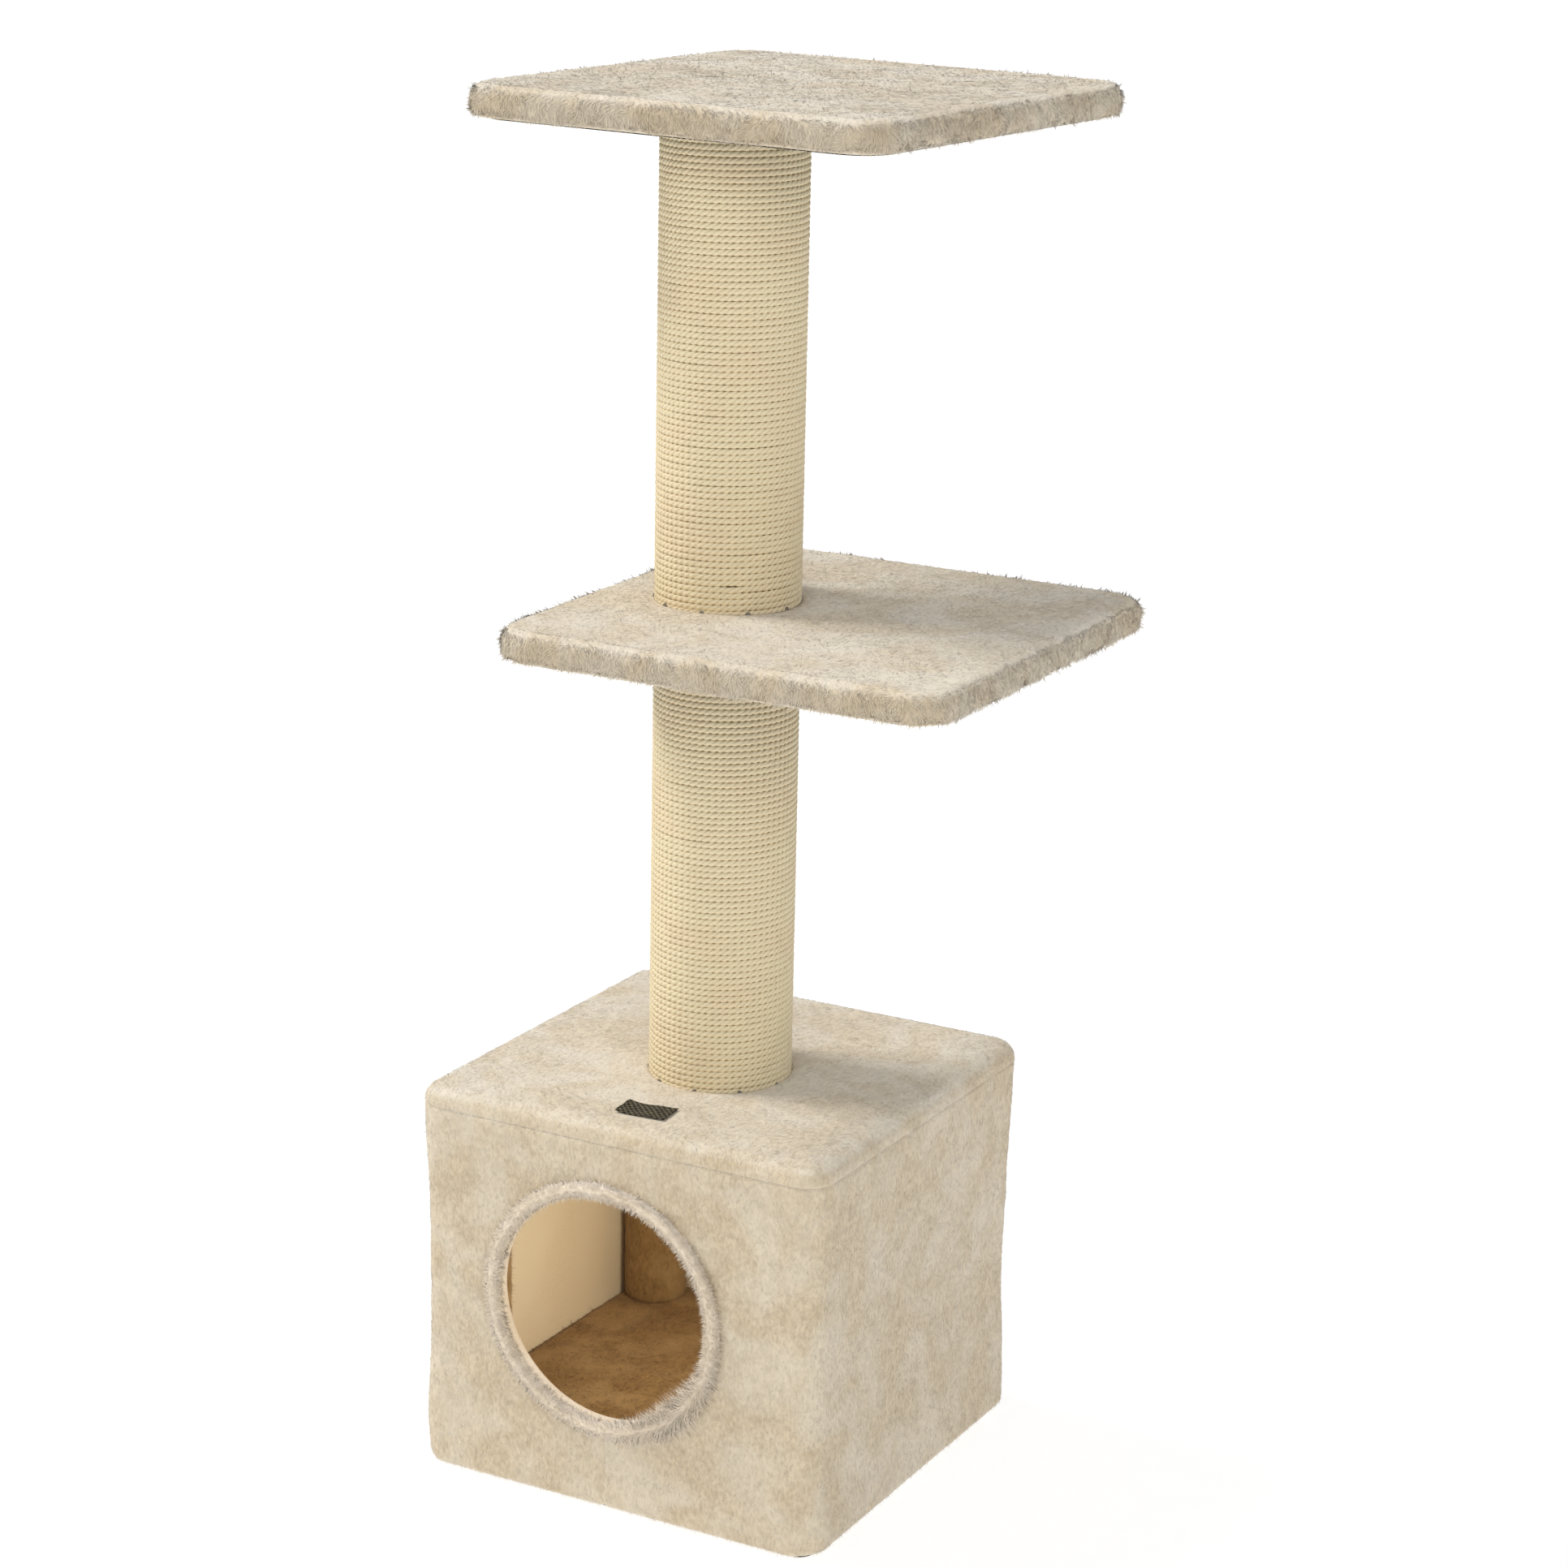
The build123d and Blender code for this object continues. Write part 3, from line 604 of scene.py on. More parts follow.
def denLight(light):
    # the light that reaches in through the doorway
    data = bpy.data.lights.new("den", "AREA")
    data.shape = "DISK"
    data.size = light["size"]
    data.energy = light["power"]
    data.color = light["color"]
    lamp = bpy.data.objects.new("den", data)
    lamp.location = (doorMiddle.x + light["aside"], wallLow.y + light["depth"], doorMiddle.z)
    lamp.rotation_euler = Vector(light["way"]).to_track_quat("-Z", "Y").to_euler()
    lamp.visible_camera = False
    scene.collection.objects.link(lamp)


# turn is where a light comes from, in degrees from +X
lights = {
    "left": {"turn": 191, "height": 50, "spread": 18, "strength": 1.84, "color": (1.0, 0.97, 0.92)},
    "front": {"turn": -84, "height": 32, "spread": 30, "strength": 0.30, "color": (1.0, 0.95, 0.88)},
    "right": {"turn": -42, "height": 24, "spread": 30, "strength": 0.41, "color": (0.96, 0.98, 1.0)},
}
denSetup = {"size": 0.08, "power": 0.235, "depth": 95 * mm, "aside": 75 * mm, "way": (-1.0, 0.42, -0.05),
            "color": (1.0, 0.93, 0.74)}
skySetup = {"color": (0.97, 0.985, 1.0, 1), "strength": 0.56, "shown": 1.05}
floorSetup = {"size": 200.0, "color": (0.38, 0.38, 0.38), "drift": (0.37, 0.37, 0.37), "glow": 0.76}


def buildStudio():
    placeCamera(cameraSetup)
    for name, light in lights.items():
        sunLight(name, light)
    denLight(denSetup)
    world = bpy.data.worlds.new("studio")
    scene.world = world
    world.use_nodes = True
    tree = world.node_tree
    sky = tree.nodes["Background"]
    sky.inputs["Color"].default_value = skySetup["color"]
    sky.inputs["Strength"].default_value = skySetup["strength"]
    shown = addNode(tree, "ShaderNodeBackground", in_Color=(1, 1, 1, 1), in_Strength=skySetup["shown"])
    chosen = tree.nodes.new("ShaderNodeMixShader")
    tree.links.new(addNode(tree, "ShaderNodeLightPath").outputs["Is Camera Ray"], chosen.inputs[0])
    tree.links.new(sky.outputs[0], chosen.inputs[1])
    tree.links.new(shown.outputs[0], chosen.inputs[2])
    tree.links.new(chosen.outputs[0], tree.nodes["World Output"].inputs["Surface"])
    half = floorSetup["size"] / 2
    corners = np.array([(-half, -half, 0), (half, -half, 0), (half, half, 0), (-half, half, 0)])
    floor = makeMesh("floor", corners, [(0, 1, 2, 3)], smooth=False)
    material = grainMaterial(
        "floorPaint", (floorSetup["color"], floorSetup["drift"], floorSetup["color"]), size=(0.02, 0.02, 0.02),
        driftSize=(0.6, 0.6, 0.6), specks=0.0, bump=0.02)
    paint = material.node_tree.nodes["Principled BSDF"]
    paint.inputs["Emission Color"].default_value = (1, 1, 1, 1)
    paint.inputs["Emission Strength"].default_value = floorSetup["glow"]
    floor.data.materials.append(material)
    scene.view_settings.view_transform = "Standard"


buildStudio()
print("studio made")


def napDown(points, normals):
    return np.tile(np.array([0.0, 0.0, -1.0]), (len(points), 1)) + normals * 0.001


def napAcross(points, normals):
    angle = 1.9 * noiseAt(points, 9.0, 3.0) - math.pi / 2
    return np.stack([np.cos(angle), np.sin(angle), np.zeros(len(points))], axis=1)


def napMixed(points, normals):
    # lies across the flat top and hangs down where the plush turns over the edge
    flat = np.clip(np.abs(normals[:, 2:3]) * 1.6 - 0.5, 0, 1)
    return napAcross(points, normals) * flat + napDown(points, normals) * (1 - flat)


sideLook = {
    "spacing": 3.0 * mm, "corner": 20 * mm, "hem": 24 * mm, "baseRound": 7 * mm, "pull": 3.9 * mm,
    "deepest": 3.9 * mm, "baseCorner": 3.4 * mm, "baseCornerHeight": 34 * mm, "waves": 1.0 * mm,
    "ripples": 0.35 * mm, "seamTuck": 0.5 * mm, "tuckHeight": 5 * mm, "doorCut": 85.5 * mm, "doorRim": 84.5 * mm,
    "joinDepth": 2.0 * mm, "joinWidth": 2.0 * mm, "bareJoin": 1.1 * mm, "underRoll": 4 * mm,
    "calmReach": 40 * mm, "calmLeast": 0.15, "cloth": 1.1 * mm,
}
sideFibres = {"count": 90000, "length": 3.8 * mm, "width": 0.42 * mm, "lift": 0.15, "wander": 0.25, "jitter": 0.2,
              "clumpScale": 50.0, "liftScale": 28.0, "round": 0.6, "strays": 0.16, "sink": 0.12 * mm,
              "seed": 11}


def buildSide():
    look = sideLook
    width, depth = sideHigh.x - sideLow.x, sideHigh.y - sideLow.y
    near = [doorMiddle.x + k * 0.8 * mm for k in (-3, -2, -1, 0, 1, 2, 3)]
    flat, outward = outlineOf(width, depth, look["corner"], look["spacing"], near)
    low, high = sideLow.z + 0.6 * mm, sideHigh.z
    rows = [(look["hem"] - k * (look["hem"] - look["baseRound"]) / 7, low) for k in range(7)]
    rows += [(look["baseRound"] * (1 - math.sin(t)), low + look["baseRound"] * (1 - math.cos(t)))
             for t in np.linspace(0, math.pi / 2, 5)]
    start = low + look["baseRound"]
    steps = round((high - start) / look["spacing"])
    rows += [(0.0, start + (high - start) * k / steps) for k in range(1, steps + 1)]
    rings, spare = [], []
    for offset, z in rows:
        share = min(max((z - low) / (high - low), 0), 1)
        belly = look["pull"] * math.sin(math.pi * share) ** 1.3
        tuck = look["seamTuck"] * max(0, 1 - (high - z) / look["tuckHeight"]) ** 2
        away = np.hypot(flat[:, 0] - doorMiddle.x, np.full(len(flat), z) - doorMiddle.z)
        onFront = outward[:, 1] < -0.99
        calm = np.where(onFront, np.clip((away - rollRadius) / look["calmReach"], look["calmLeast"], 1), 1)
        fromJoin = (flat[:, 0] - doorMiddle.x) / look["joinWidth"]
        join = np.where(onFront & (z < doorMiddle.z), np.exp(-fromJoin ** 2), 0)
        nearBase = max(0, 1 - (z - low) / look["baseCornerHeight"]) ** 1.5
        atCorner = (2 * outward[:, 0] * outward[:, 1]) ** 2
        inward = offset + belly * calm + tuck + look["joinDepth"] * join + look["baseCorner"] * nearBase * atCorner
        spots = flat - outward * inward[:, None]
        rings.append(np.column_stack([spots, np.full(len(flat), z)]))
        spare.append(np.maximum(look["deepest"] - inward, 0))
    points, faces, caps = ringsToSkin(rings)
    ways = np.tile(np.column_stack([outward, np.zeros(len(outward))]), (len(rings), 1))
    heights = points[:, 2]
    free = np.clip((heights - low - 1 * mm) / (6 * mm), 0, 1) * np.clip((high - heights) / (4 * mm), 0, 1)
    ripple = look["waves"] * noiseAt(points, 20.0, 1) + look["ripples"] * noiseAt(points, 75.0, 2)
    ripple = np.maximum(ripple, -np.concatenate(spare))
    points = points + ways * (ripple * free)[:, None]
    return cutDoor(points, faces, look)


def cutDoor(points, faces, look):
    away = fromAxis(points, doorMiddle, 2)
    inside = (away < look["doorCut"]) & (points[:, 1] < -0.1)
    gone = inside[faces].any(axis=1)
    rim = np.intersect1d(faces[gone], faces[~gone])
    reach = look["doorRim"] / away[rim]
    points[rim, 0] = doorMiddle.x + (points[rim, 0] - doorMiddle.x) * reach
    points[rim, 2] = doorMiddle.z + (points[rim, 2] - doorMiddle.z) * reach
    kept = faces[~gone]
    used = np.unique(kept)
    renumber = np.full(len(points), -1)
    renumber[used] = np.arange(len(used))
    return points[used], renumber[kept]


sidePoints, sideFaces = buildSide()
side = makeMesh("houseSidePlush", sidePoints, sideFaces)
thicken(side, sideLook["cloth"])
dress(side, plush, "plush", ["house_side_cover"])


def sideKeep(centres, normals):
    away = fromAxis(centres, doorMiddle, 2)
    front = normals[:, 1] < -0.7
    fromJoin = np.abs(centres[:, 0] - doorMiddle.x)
    onJoin = front & (fromJoin < sideLook["bareJoin"]) & (centres[:, 2] < doorMiddle.z)
    underneath = normals[:, 2] < -0.7
    hidden = front & (away < rollRadius - sideLook["underRoll"])
    return np.where(onJoin | underneath | hidden, 0.0, 1.0)


growFibres("houseSidePile", sidePoints, sideFaces, sideFibres, (plushTips, "plush"), napDown, sideKeep)
print("house side made:", len(side.data.polygons), "faces")


lidLook = {
    "spacing": 3.0 * mm, "corner": 20 * mm, "round": 12 * mm, "seatRadius": 48.7 * mm, "seatDip": 0.8 * mm,
    "crown": 0.8 * mm, "waves": 1.1 * mm, "ripples": 0.4 * mm, "seamTuck": 0.5 * mm, "cloth": 1.1 * mm, "rings": 40,
    "crownReach": 40 * mm, "seatReach": 30 * mm, "dipWidth": 4 * mm, "bareLength": 41 * mm, "bareWidth": 27 * mm,
}
lidFibres = {"count": 30000, "length": 3.8 * mm, "width": 0.42 * mm, "lift": 0.10, "wander": 0.6, "jitter": 0.25,
             "clumpScale": 40.0, "liftScale": 24.0, "round": 0.35, "strays": 0.06, "sink": 0.1 * mm,
             "seed": 23}


def loftTo(ring, outward, middle, radius, z, count, startOffset):
    # rings from an outline to a circle around the post, at one height
    begin = ring - outward * startOffset
    way = begin - np.array(middle)
    goal = np.array(middle) + way / np.linalg.norm(way, axis=1, keepdims=True) * radius
    return [np.column_stack([begin + (goal - begin) * (k / count), np.full(len(ring), z)])
            for k in range(1, count + 1)]


def buildLid():
    look = lidLook
    width, depth = lidHigh.x - lidLow.x, lidHigh.y - lidLow.y
    flat, outward = outlineOf(width, depth, look["corner"], look["spacing"])
    low, high = lidLow.z, lidHigh.z
    rows = [(look["seamTuck"] * (1 - k / 3) ** 2, low + (high - look["round"] - low) * k / 3) for k in range(3)]
    rows += [(look["round"] * (1 - math.cos(t)), high - look["round"] * (1 - math.sin(t)))
             for t in np.linspace(0, math.pi / 2, 8)]
    rings = [levelRing(flat, outward, offset, z) for offset, z in rows]
    hole = (postMiddle.x, postMiddle.y)
    rings += loftTo(flat, outward, hole, look["seatRadius"], high, look["rings"], look["round"])
    points, faces, caps = ringsToSkin(rings)
    fromPost = fromAxis(points, postMiddle)
    onTop = points[:, 2] > high - 0.1 * mm
    edge = np.minimum(np.abs(np.abs(points[:, 0]) - width / 2), np.abs(np.abs(points[:, 1]) - depth / 2))
    fromSeat = fromPost - look["seatRadius"]
    rise = look["crown"] * np.clip(edge / look["crownReach"], 0, 1) * np.clip(fromSeat / look["seatReach"], 0, 1)
    rise = rise - look["seatDip"] * np.exp(-(fromSeat / look["dipWidth"]) ** 2)
    fromLabel = fromAxis(points, labelMiddle)
    wavy = look["waves"] * noiseAt(points, 20.0, 4) + look["ripples"] * noiseAt(points, 80.0, 5)
    rise = rise + wavy * np.clip((fromLabel - 20 * mm) / (25 * mm), 0.1, 1)
    points[:, 2] += np.where(onTop, rise, 0)
    out = unit(points[:, :2])
    points[:, :2] += out * (0.5 * mm * noiseAt(points, 60.0, 6) * ~onTop * (points[:, 2] > low + 1 * mm))[:, None]
    return points, faces


lidPoints, lidFaces = buildLid()
lid = makeMesh("houseTopPlush", lidPoints, lidFaces)
thicken(lid, lidLook["cloth"])
dress(lid, plush, "plush", ["house_top_cover"])


def lidKeep(centres, normals):
    x, y = centres[:, 0] - labelMiddle.x, centres[:, 1] - labelMiddle.y
    along = x * math.cos(labelTurn) + y * math.sin(labelTurn)
    across = -x * math.sin(labelTurn) + y * math.cos(labelTurn)
    onLabel = (np.abs(along) < lidLook["bareLength"] / 2) & (np.abs(across) < lidLook["bareWidth"] / 2)
    inSeat = fromAxis(centres, postMiddle) < postClear
    return np.where(onLabel | inSeat, 0.0, 1.0)


growFibres("houseTopPile", lidPoints, lidFaces, lidFibres, (plushTips, "plush"), napMixed, lidKeep)
print("house top made:", len(lid.data.polygons), "faces")


rollLook = {"bead": 4.7 * mm, "width": 9 * mm, "proud": 4.8 * mm, "lip": 8 * mm, "lipDepth": 3 * mm, "steps": 260,
            "waves": 0.7 * mm, "pinch": 0.25, "pinchDegrees": 2.2, "bareDegrees": 0.8,
            "shagMore": 1.7, "shagAt": -46, "shagDegrees": 24}
rollFibres = {"count": 30000, "length": 4.8 * mm, "width": 0.36 * mm, "lift": 0.30, "wander": 0.7, "jitter": 0.45,
              "clumpScale": 150.0, "liftScale": 60.0, "bend": 0.1, "round": 0.4, "strays": 0.3, "sink": 0.3 * mm,
              "seed": 31}


def buildRoll():
    look = rollLook
    clear = rollRadius - look["width"]
    inner = wallLow.y + 3 * mm
    centre = clear + look["width"] / 2
    bead = [(centre + look["bead"] * math.cos(t), sideLow.y - look["proud"] * math.sin(t))
            for t in np.linspace(-0.3, math.pi, 12)]
    back = inner + look["lipDepth"]
    section = bead + [
        (clear, sideLow.y + 4 * mm), (clear, inner), (clear + 0.6 * mm, back - 0.7 * mm), (clear + 2 * mm, back),
        (clear + look["lip"] - 1.5 * mm, back), (clear + look["lip"], back - 1 * mm),
        (clear + look["lip"], inner + 0.3 * mm), (clear + 3.6 * mm, inner + 0.2 * mm), (clear + 3.6 * mm, sideLow.y),
    ]
    section = np.array(section)
    rings = []
    for step in range(look["steps"]):
        angle = 2 * math.pi * step / look["steps"]
        fromJoin = abs((math.degrees(angle) - 270 + 180) % 360 - 180)
        pinch = 1 - look["pinch"] * math.exp(-(fromJoin / look["pinchDegrees"]) ** 2)
        depth = np.where(section[:, 1] < sideLow.y, sideLow.y + (section[:, 1] - sideLow.y) * pinch, section[:, 1])
        rings.append(np.column_stack([doorMiddle.x + section[:, 0] * math.cos(angle), depth,
                                      doorMiddle.z + section[:, 0] * math.sin(angle)]))
    points = np.concatenate(rings)
    count = len(section)
    row, column = np.meshgrid(np.arange(look["steps"]), np.arange(count), indexing="ij")
    nextRow, nextColumn = (row + 1) % look["steps"], (column + 1) % count
    faces = np.stack([row * count + column, row * count + nextColumn,
                      nextRow * count + nextColumn, nextRow * count + column], axis=-1).reshape(-1, 4)
    bump = look["waves"] * noiseAt(points, 90.0, 7) * (points[:, 1] < sideLow.y - 0.5 * mm)
    points[:, 1] -= bump
    return points, faces


rollPoints, rollFaces = buildRoll()
roll = makeMesh("doorwayRoll", rollPoints, rollFaces)
roll.data.flip_normals()
dress(roll, rollPlush, "plush_trim", ["doorway_trim"])


def rollNap(points, normals):
    inward = np.column_stack([doorMiddle.x - points[:, 0], np.zeros(len(points)), doorMiddle.z - points[:, 2]])
    away = np.hypot(inward[:, 0], inward[:, 2])
    middle = rollRadius - rollLook["width"] / 2
    side = np.clip((middle - away) / (2 * mm), -1, 1)[:, None]
    return unit(inward) * side * 0.9 + np.array([0.0, -0.35, -0.15])


def rollKeep(centres, normals):
    away = fromAxis(centres, doorMiddle, 2)
    shown = (centres[:, 1] < sideLow.y + 3 * mm) & (away < rollRadius + 1 * mm)
    angle = np.degrees(np.arctan2(centres[:, 2] - doorMiddle.z, centres[:, 0] - doorMiddle.x))
    atJoin = np.abs(angle + 90) < rollLook["bareDegrees"]
    return np.where(shown & ~atJoin, 1.0, 0.0)


def rollLength(roots, normals):
    # the pile is shaggier at the lower right of the doorway
    angle = np.degrees(np.arctan2(roots[:, 2] - doorMiddle.z, roots[:, 0] - doorMiddle.x))
    look = rollLook
    return 0.9 + look["shagMore"] * np.exp(-((angle - look["shagAt"]) / look["shagDegrees"]) ** 2)


growFibres("doorwayRollPile", rollPoints, rollFaces[:, ::-1].copy(), rollFibres, (rollPlush, "plush_trim"),
           rollNap, rollKeep, rollLength)
print("doorway roll made:", len(roll.data.polygons), "faces")


floorLook = {"spacing": 4.0 * mm, "corner": 12 * mm, "rings": 34, "waves": 1.6 * mm, "locks": 0.5 * mm}
floorFibres = {"count": 16000, "length": 4.4 * mm, "width": 0.55 * mm, "lift": 0.25, "wander": 0.8, "jitter": 0.3,
               "clumpScale": 40.0, "liftScale": 24.0, "round": 0.4, "strays": 0.1, "sink": 0.3 * mm,
               "seed": 41}


def buildFloor():
    look = floorLook
    width, depth = matHigh.x - matLow.x - 0.4 * mm, matHigh.y - matLow.y - 0.4 * mm
    flat, outward = outlineOf(width, depth, look["corner"], look["spacing"])
    rows = ((0, matLow.z), (0, matHigh.z - 3 * mm), (0.8 * mm, matHigh.z - 1 * mm), (3 * mm, matHigh.z))
    rings = [levelRing(flat, outward, offset, z) for offset, z in rows]
    rings += loftTo(flat, outward, (0, 0), 2 * mm, matHigh.z, look["rings"], 3 * mm)
    points, faces, caps = ringsToSkin(rings, closeTop=True)
    top = points[:, 2] > matHigh.z - 0.1 * mm
    points[:, 2] += top * (look["waves"] * noiseAt(points, 24.0, 8) + look["locks"] * noiseAt(points, 90.0, 9)
                           + 1.0 * mm)
    under = [list(range(len(flat)))[::-1]]
    return points, faces, caps + under


floorPoints, floorFaces, floorCaps = buildFloor()
houseFloor = makeMesh("houseFloorPlush", floorPoints, floorFaces, floorCaps)
dress(houseFloor, denShadedPlush, "plush", ["floor_mat"])
growFibres("houseFloorPile", floorPoints, floorFaces, floorFibres, (denShadedPlush, "plush"), napAcross,
           lambda centres, normals: np.where(normals[:, 2] > 0.5, 1.0, 0.0))


sleeveLook = {"around": 44, "rows": 60, "waves": 0.7 * mm, "depth": 3.9 * mm, "rim": 1.2 * mm}
sleeveFibres = {"count": 5000, "length": 4.2 * mm, "width": 0.55 * mm, "lift": 0.25, "wander": 0.4, "jitter": 0.2,
                "clumpScale": 60.0, "liftScale": 30.0, "round": 0.4, "strays": 0.1, "sink": 0.3 * mm,
                "seed": 51}


def buildSleeve(corner, number):
    node = "pillar_sleeve_" + corner
    low, high = boxOf(node)
    middle, radius = (low + high) / 2, (high.x - low.x) / 2
    inner = radius - sleeveLook["depth"]
    angles = np.linspace(0, 2 * math.pi, sleeveLook["around"], endpoint=False)
    circle = np.column_stack([np.cos(angles), np.sin(angles)])
    rings = []
    for row in range(sleeveLook["rows"] + 1):
        z = low.z + (high.z - low.z) * row / sleeveLook["rows"]
        rim = min(row, sleeveLook["rows"] - row)
        size = radius - (sleeveLook["rim"] if rim == 0 else 0)
        rings.append(np.column_stack([middle.x + circle[:, 0] * size, middle.y + circle[:, 1] * size,
                                      np.full(len(circle), z)]))
    outerCount = len(rings)
    for z in (high.z, low.z):
        rings.append(np.column_stack([middle.x + circle[:, 0] * inner, middle.y + circle[:, 1] * inner,
                                      np.full(len(circle), z)]))
    points, faces, caps = ringsToSkin(rings)
    count = len(circle)
    column = np.arange(count)
    after = (column + 1) % count
    last = (len(rings) - 1) * count
    closing = np.stack([last + column, last + after, after, column], axis=1)
    outer = np.arange(len(points)) < outerCount * count
    ripple = sleeveLook["waves"] * noiseAt(points, 60.0, 10 + number)
    toMiddle = unit(points[:, :2] - np.array([middle.x, middle.y]))
    points[:, :2] -= toMiddle * (np.abs(ripple) * outer)[:, None]
    sleeve = makeMesh("pillarPlush_" + corner, points, np.concatenate([faces, closing]))
    dress(sleeve, denShadedPlush, "plush", [node])
    shownFaces = faces[: (outerCount - 1) * count]
    growFibres("pillarPile_" + corner, points, shownFaces, {**sleeveFibres, "seed": 51 + number},
               (denShadedPlush, "plush"), napDown, lambda centres, normals: roomSide(centres))


def roomSide(centres):
    # pile only where it doesn't reach the walls
    roomX = (wallHigh.x - wallLow.x) / 2 - 3 * mm
    roomY = (wallHigh.y - wallLow.y) / 2 - 3 * mm
    clear = (np.abs(centres[:, 0]) < roomX - 4 * mm) & (np.abs(centres[:, 1]) < roomY - 4 * mm)
    return np.where(clear, 1.0, 0.0)


for number, corner in enumerate(("front_left", "front_right", "back_left", "back_right")):
    buildSleeve(corner, number)
print("inside made")


deckLook = {
    "spacing": 3.0 * mm, "corner": 30 * mm, "hem": 24 * mm, "lowRound": 8 * mm, "topRound": 10.5 * mm,
    "seatRadius": 48.7 * mm, "seatDip": 0.8 * mm, "sag": 0.6 * mm, "waves": 1.0 * mm, "ripples": 0.4 * mm,
    "edgeWaves": 0.9 * mm, "edgeLumps": 0.6 * mm, "rings": 46, "cloth": 1.1 * mm, "dipWidth": 4 * mm,
}
deckFibres = {"count": 32000, "length": 3.8 * mm, "width": 0.42 * mm, "lift": 0.10, "wander": 0.6, "jitter": 0.25,
              "clumpScale": 40.0, "liftScale": 22.0, "round": 0.35, "strays": 0.06, "sink": 0.1 * mm,
              "seed": 61}
edgeFibres = {"count": 20000, "length": 5.0 * mm, "width": 0.6 * mm, "lift": 0.24, "wander": 0.9, "jitter": 0.3,
              "clumpScale": 95.0, "liftScale": 50.0, "bend": 0.1, "round": 0.6, "strays": 0.14, "sink": 0.3 * mm,
              "seed": 71}


def buildDeck(level, number):
    look = deckLook
    low, high = boxOf(level + "_platform_cover")
    middle = (low + high) / 2
    toMiddle = Vector((middle.x - postMiddle.x, middle.y - postMiddle.y))
    direction = math.atan2(toMiddle.y, toMiddle.x)
    seated = level == "middle"
    flat, outward = outlineOf(deckSize, deckSize, look["corner"], look["spacing"])
    bottom, top = low.z, high.z
    rows = [(look["hem"] - k * (look["hem"] - look["lowRound"]) / 5, bottom) for k in range(5)]
    rows += [(look["lowRound"] * (1 - math.sin(t)), bottom + look["lowRound"] * (1 - math.cos(t)))
             for t in np.linspace(0, math.pi / 2, 6)]
    rows += [(look["topRound"] * (1 - math.cos(t)), top - look["topRound"] * (1 - math.sin(t)))
             for t in np.linspace(0, math.pi / 2, 8)]
    rings = [levelRing(flat, outward, offset, z) for offset, z in rows]
    hole = (-toMiddle.length, 0) if seated else (0, 0)
    goal = look["seatRadius"] if seated else 1.5 * mm
    rings += loftTo(flat, outward, hole, goal, top, look["rings"], look["topRound"])
    points, faces, caps = ringsToSkin(rings, closeTop=not seated)
    fromPost = np.hypot(points[:, 0] - hole[0], points[:, 1] - hole[1])
    onTop = points[:, 2] > top - 0.1 * mm
    seed = 20 + 10 * number
    rise = look["waves"] * noiseAt(points, 20.0, seed) + look["ripples"] * noiseAt(points, 80.0, seed + 1)
    rise = rise - look["sag"]
    if seated:
        rise = rise - look["seatDip"] * np.exp(-((fromPost - look["seatRadius"]) / look["dipWidth"]) ** 2)
    points[:, 2] += np.where(onTop, rise, 0)
    turning = ~onTop & (points[:, 2] > bottom + 0.1 * mm)
    ways = np.tile(np.column_stack([outward, np.zeros(len(outward))]), (len(rings), 1))
    ripple = look["edgeWaves"] * noiseAt(points, 40.0, seed + 2)
    ripple = ripple + look["edgeLumps"] * noiseAt(points, 110.0, seed + 3)
    points = points + ways * (ripple * turning)[:, None]
    return placeDeck(points, middle, direction), faces, caps


def placeDeck(points, middle, direction):
    cosine, sine = math.cos(direction), math.sin(direction)
    x = middle.x + points[:, 0] * cosine - points[:, 1] * sine
    y = middle.y + points[:, 0] * sine + points[:, 1] * cosine
    return np.column_stack([x, y, points[:, 2]])


def dressDeck(level, number):
    points, faces, caps = buildDeck(level, number)
    deck = makeMesh(level + "PlatformPlush", points, faces, caps)
    thicken(deck, deckLook["cloth"])
    dress(deck, plush, "plush", [level + "_platform_cover"])
    seated = level == "middle"

    def clearOfPost(centres):
        return (fromAxis(centres, postMiddle) > postClear) if seated else np.full(len(centres), True)

    def topKeep(centres, normals):
        return np.where((normals[:, 2] > 0.6) & clearOfPost(centres), 1.0, 0.0)

    def edgeKeep(centres, normals):
        shown = (normals[:, 2] <= 0.75) & (normals[:, 2] > -0.75)
        return np.where(shown, 1.0, 0.0)

    growFibres(level + "PlatformPile", points, faces, {**deckFibres, "seed": 61 + number}, (plushTips, "plush"),
               napAcross, topKeep)
    growFibres(level + "PlatformEdgePile", points, faces, {**edgeFibres, "seed": 71 + number},
               (plushTips, "plush"), napMixed, edgeKeep)
    print(level, "platform made:", len(deck.data.polygons), "faces")


dressDeck("middle", 0)
dressDeck("top", 1)


ropeLook = {"perTurn": 192, "strands": 3, "strandDepth": 0.13, "wobble": 0.32 * mm, "flat": 0.66, "overlap": 1.04,
            "tuck": 0.35 * mm}
ropeHair = {"count": 3000, "length": 6 * mm, "width": 0.12 * mm, "lift": 0.22, "wander": 0.5, "jitter": 0.5,
            "clumpScale": 200.0, "liftScale": 90.0, "bend": 0.1, "round": 0.6, "strays": 0.3, "sink": 0.2 * mm,
            "seed": 101}
ropeSlit = {"post": "upper", "turn": -58, "height": 21 * mm, "length": 7 * mm, "open": 0.55 * mm,
            "spread": 5 * mm}


